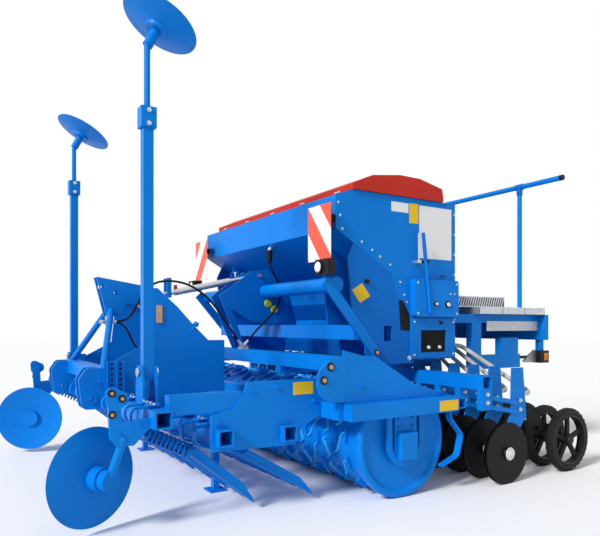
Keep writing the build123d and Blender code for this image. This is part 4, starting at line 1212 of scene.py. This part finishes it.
# Platform trim: plank ends and the pale sheet beside the frame

PLANK_X = ((-1.650, -1.424), (-1.418, -1.192), (-1.186, -0.960))
PLANK_END_REACH = (0.998, 1.001)
PLANK_END_Z = (1.0055, 1.0515)
SHEET_X = (-1.690, -1.100)
SHEET_REACH = (0.9335, 0.9375)
SHEET_Z = (0.889, 0.957)


def make_platform_trim():
    form = bmesh.new()
    for plank_x in PLANK_X:
        add_side_blocks(form, plank_x, PLANK_END_REACH, PLANK_END_Z)
    add_side_blocks(form, SHEET_X, SHEET_REACH, SHEET_Z)
    add_piece("platform_ends", form, pale_zinc)


# Tread: rows of raised studs on the planks of the platform and of the step

TREAD_PITCH = 0.050
TREAD_ROWS = 5
TREAD_TALL = 0.004
TREAD_R = (0.011, 0.007)
# columns: X low, X high, half length along Y, Z of the top
TREAD_PLANKS = (
    *((low, high, 1.000, 1.052) for low, high in PLANK_X),
    (-1.290, -1.048, 0.930, 1.125),
    (-1.042, -0.800, 0.930, 1.125),
)


def make_treads():
    form = bmesh.new()
    for low, high, half, top in TREAD_PLANKS:
        for row in range(TREAD_ROWS):
            x = low + (row + 0.5) * (high - low) / TREAD_ROWS
            shift = 0.25 if row % 2 == 0 else 0.75
            for number in range(int(2 * half / TREAD_PITCH)):
                y = -half + (number + shift) * TREAD_PITCH
                add_round(form, (x, y, top - SEAT), (x, y, top + TREAD_TALL), *TREAD_R, sides=8)
    add_piece("treads", form, pale_zinc)


# Studio

FLOOR_SIZE = 40.0
FLOOR_WHITE = (0.97, 0.97, 0.97)
ROOM_COLOUR = (0.98, 0.99, 1.0)
ROOM_STRENGTH = 0.50
SUN_STRENGTH = 2.9
SUN_ANGLE = math.radians(12)
SUN_WAY = (-0.85, -0.22, -0.58)


def make_floor():
    form = bmesh.new()
    bmesh.ops.create_grid(form, x_segments=1, y_segments=1, size=FLOOR_SIZE)
    material, _, _, shader, _ = start_material("floor_white")
    shader.inputs["Base Color"].default_value = (*FLOOR_WHITE, 1)
    shader.inputs["Roughness"].default_value = 0.9
    shader.inputs["Specular IOR Level"].default_value = 0.1
    floor = add_object("floor", form, material)


def light_studio():
    """A dim room that lights the machine, a white backdrop behind it, and a soft sun."""
    world = bpy.data.worlds.new("studio")
    scene.world = world
    world.use_nodes = True
    nodes, links = world.node_tree.nodes, world.node_tree.links
    room = nodes["Background"]
    room.inputs["Color"].default_value = (*ROOM_COLOUR, 1)
    room.inputs["Strength"].default_value = ROOM_STRENGTH
    backdrop = nodes.new("ShaderNodeBackground")
    backdrop.inputs["Color"].default_value = (1, 1, 1, 1)
    backdrop.inputs["Strength"].default_value = 1.0
    rays = nodes.new("ShaderNodeLightPath").outputs
    mirrored = calculate(nodes, links, "MAXIMUM", rays["Is Glossy Ray"], rays["Is Transmission Ray"])
    seen = calculate(nodes, links, "MAXIMUM", rays["Is Camera Ray"], mirrored)
    mix = nodes.new("ShaderNodeMixShader")
    links.new(seen, mix.inputs["Fac"])
    links.new(room.outputs["Background"], mix.inputs[1])
    links.new(backdrop.outputs["Background"], mix.inputs[2])
    links.new(mix.outputs["Shader"], nodes["World Output"].inputs["Surface"])

    sun = bpy.data.lights.new("sun", "SUN")
    sun.energy = SUN_STRENGTH
    sun.angle = SUN_ANGLE
    lamp = bpy.data.objects.new("sun", sun)
    lamp.rotation_euler = Vector(SUN_WAY).to_track_quat("-Z", "Y").to_euler()
    scene.collection.objects.link(lamp)


def place_camera():
    data = bpy.data.cameras.new("camera")
    data.lens = CAMERA_LENS
    data.sensor_width = CAMERA_SENSOR
    data.shift_y = CAMERA_SHIFT
    camera = bpy.data.objects.new("camera", data)
    camera.location = CAMERA_PLACE
    camera.rotation_euler = Vector(CAMERA_VIEW).to_track_quat("-Z", "Y").to_euler()
    scene.collection.objects.link(camera)
    scene.camera = camera


place_camera()
for node, route, radius, length in HOSES:
    make_hose(node, route, radius)
finish_cad_nodes()
make_side_bolts()
make_flat_plates()
make_small_fittings()
make_cover_rims()
make_cover_fittings()
make_lever()
make_bearing_yokes()
make_tine_clamps()
make_disc_bolts()
make_marker_bolts()
make_coulter_caps()
make_link_bolts()
make_wheel_trim()
make_step_ends()
make_rail_trim()
make_lid_clips()
make_shares()
make_springs()
make_strips()
make_strut_fork()
make_roller_lugs()
make_platform_trim()
make_treads()
make_floor()
light_studio()
scene.view_settings.view_transform = "Standard"
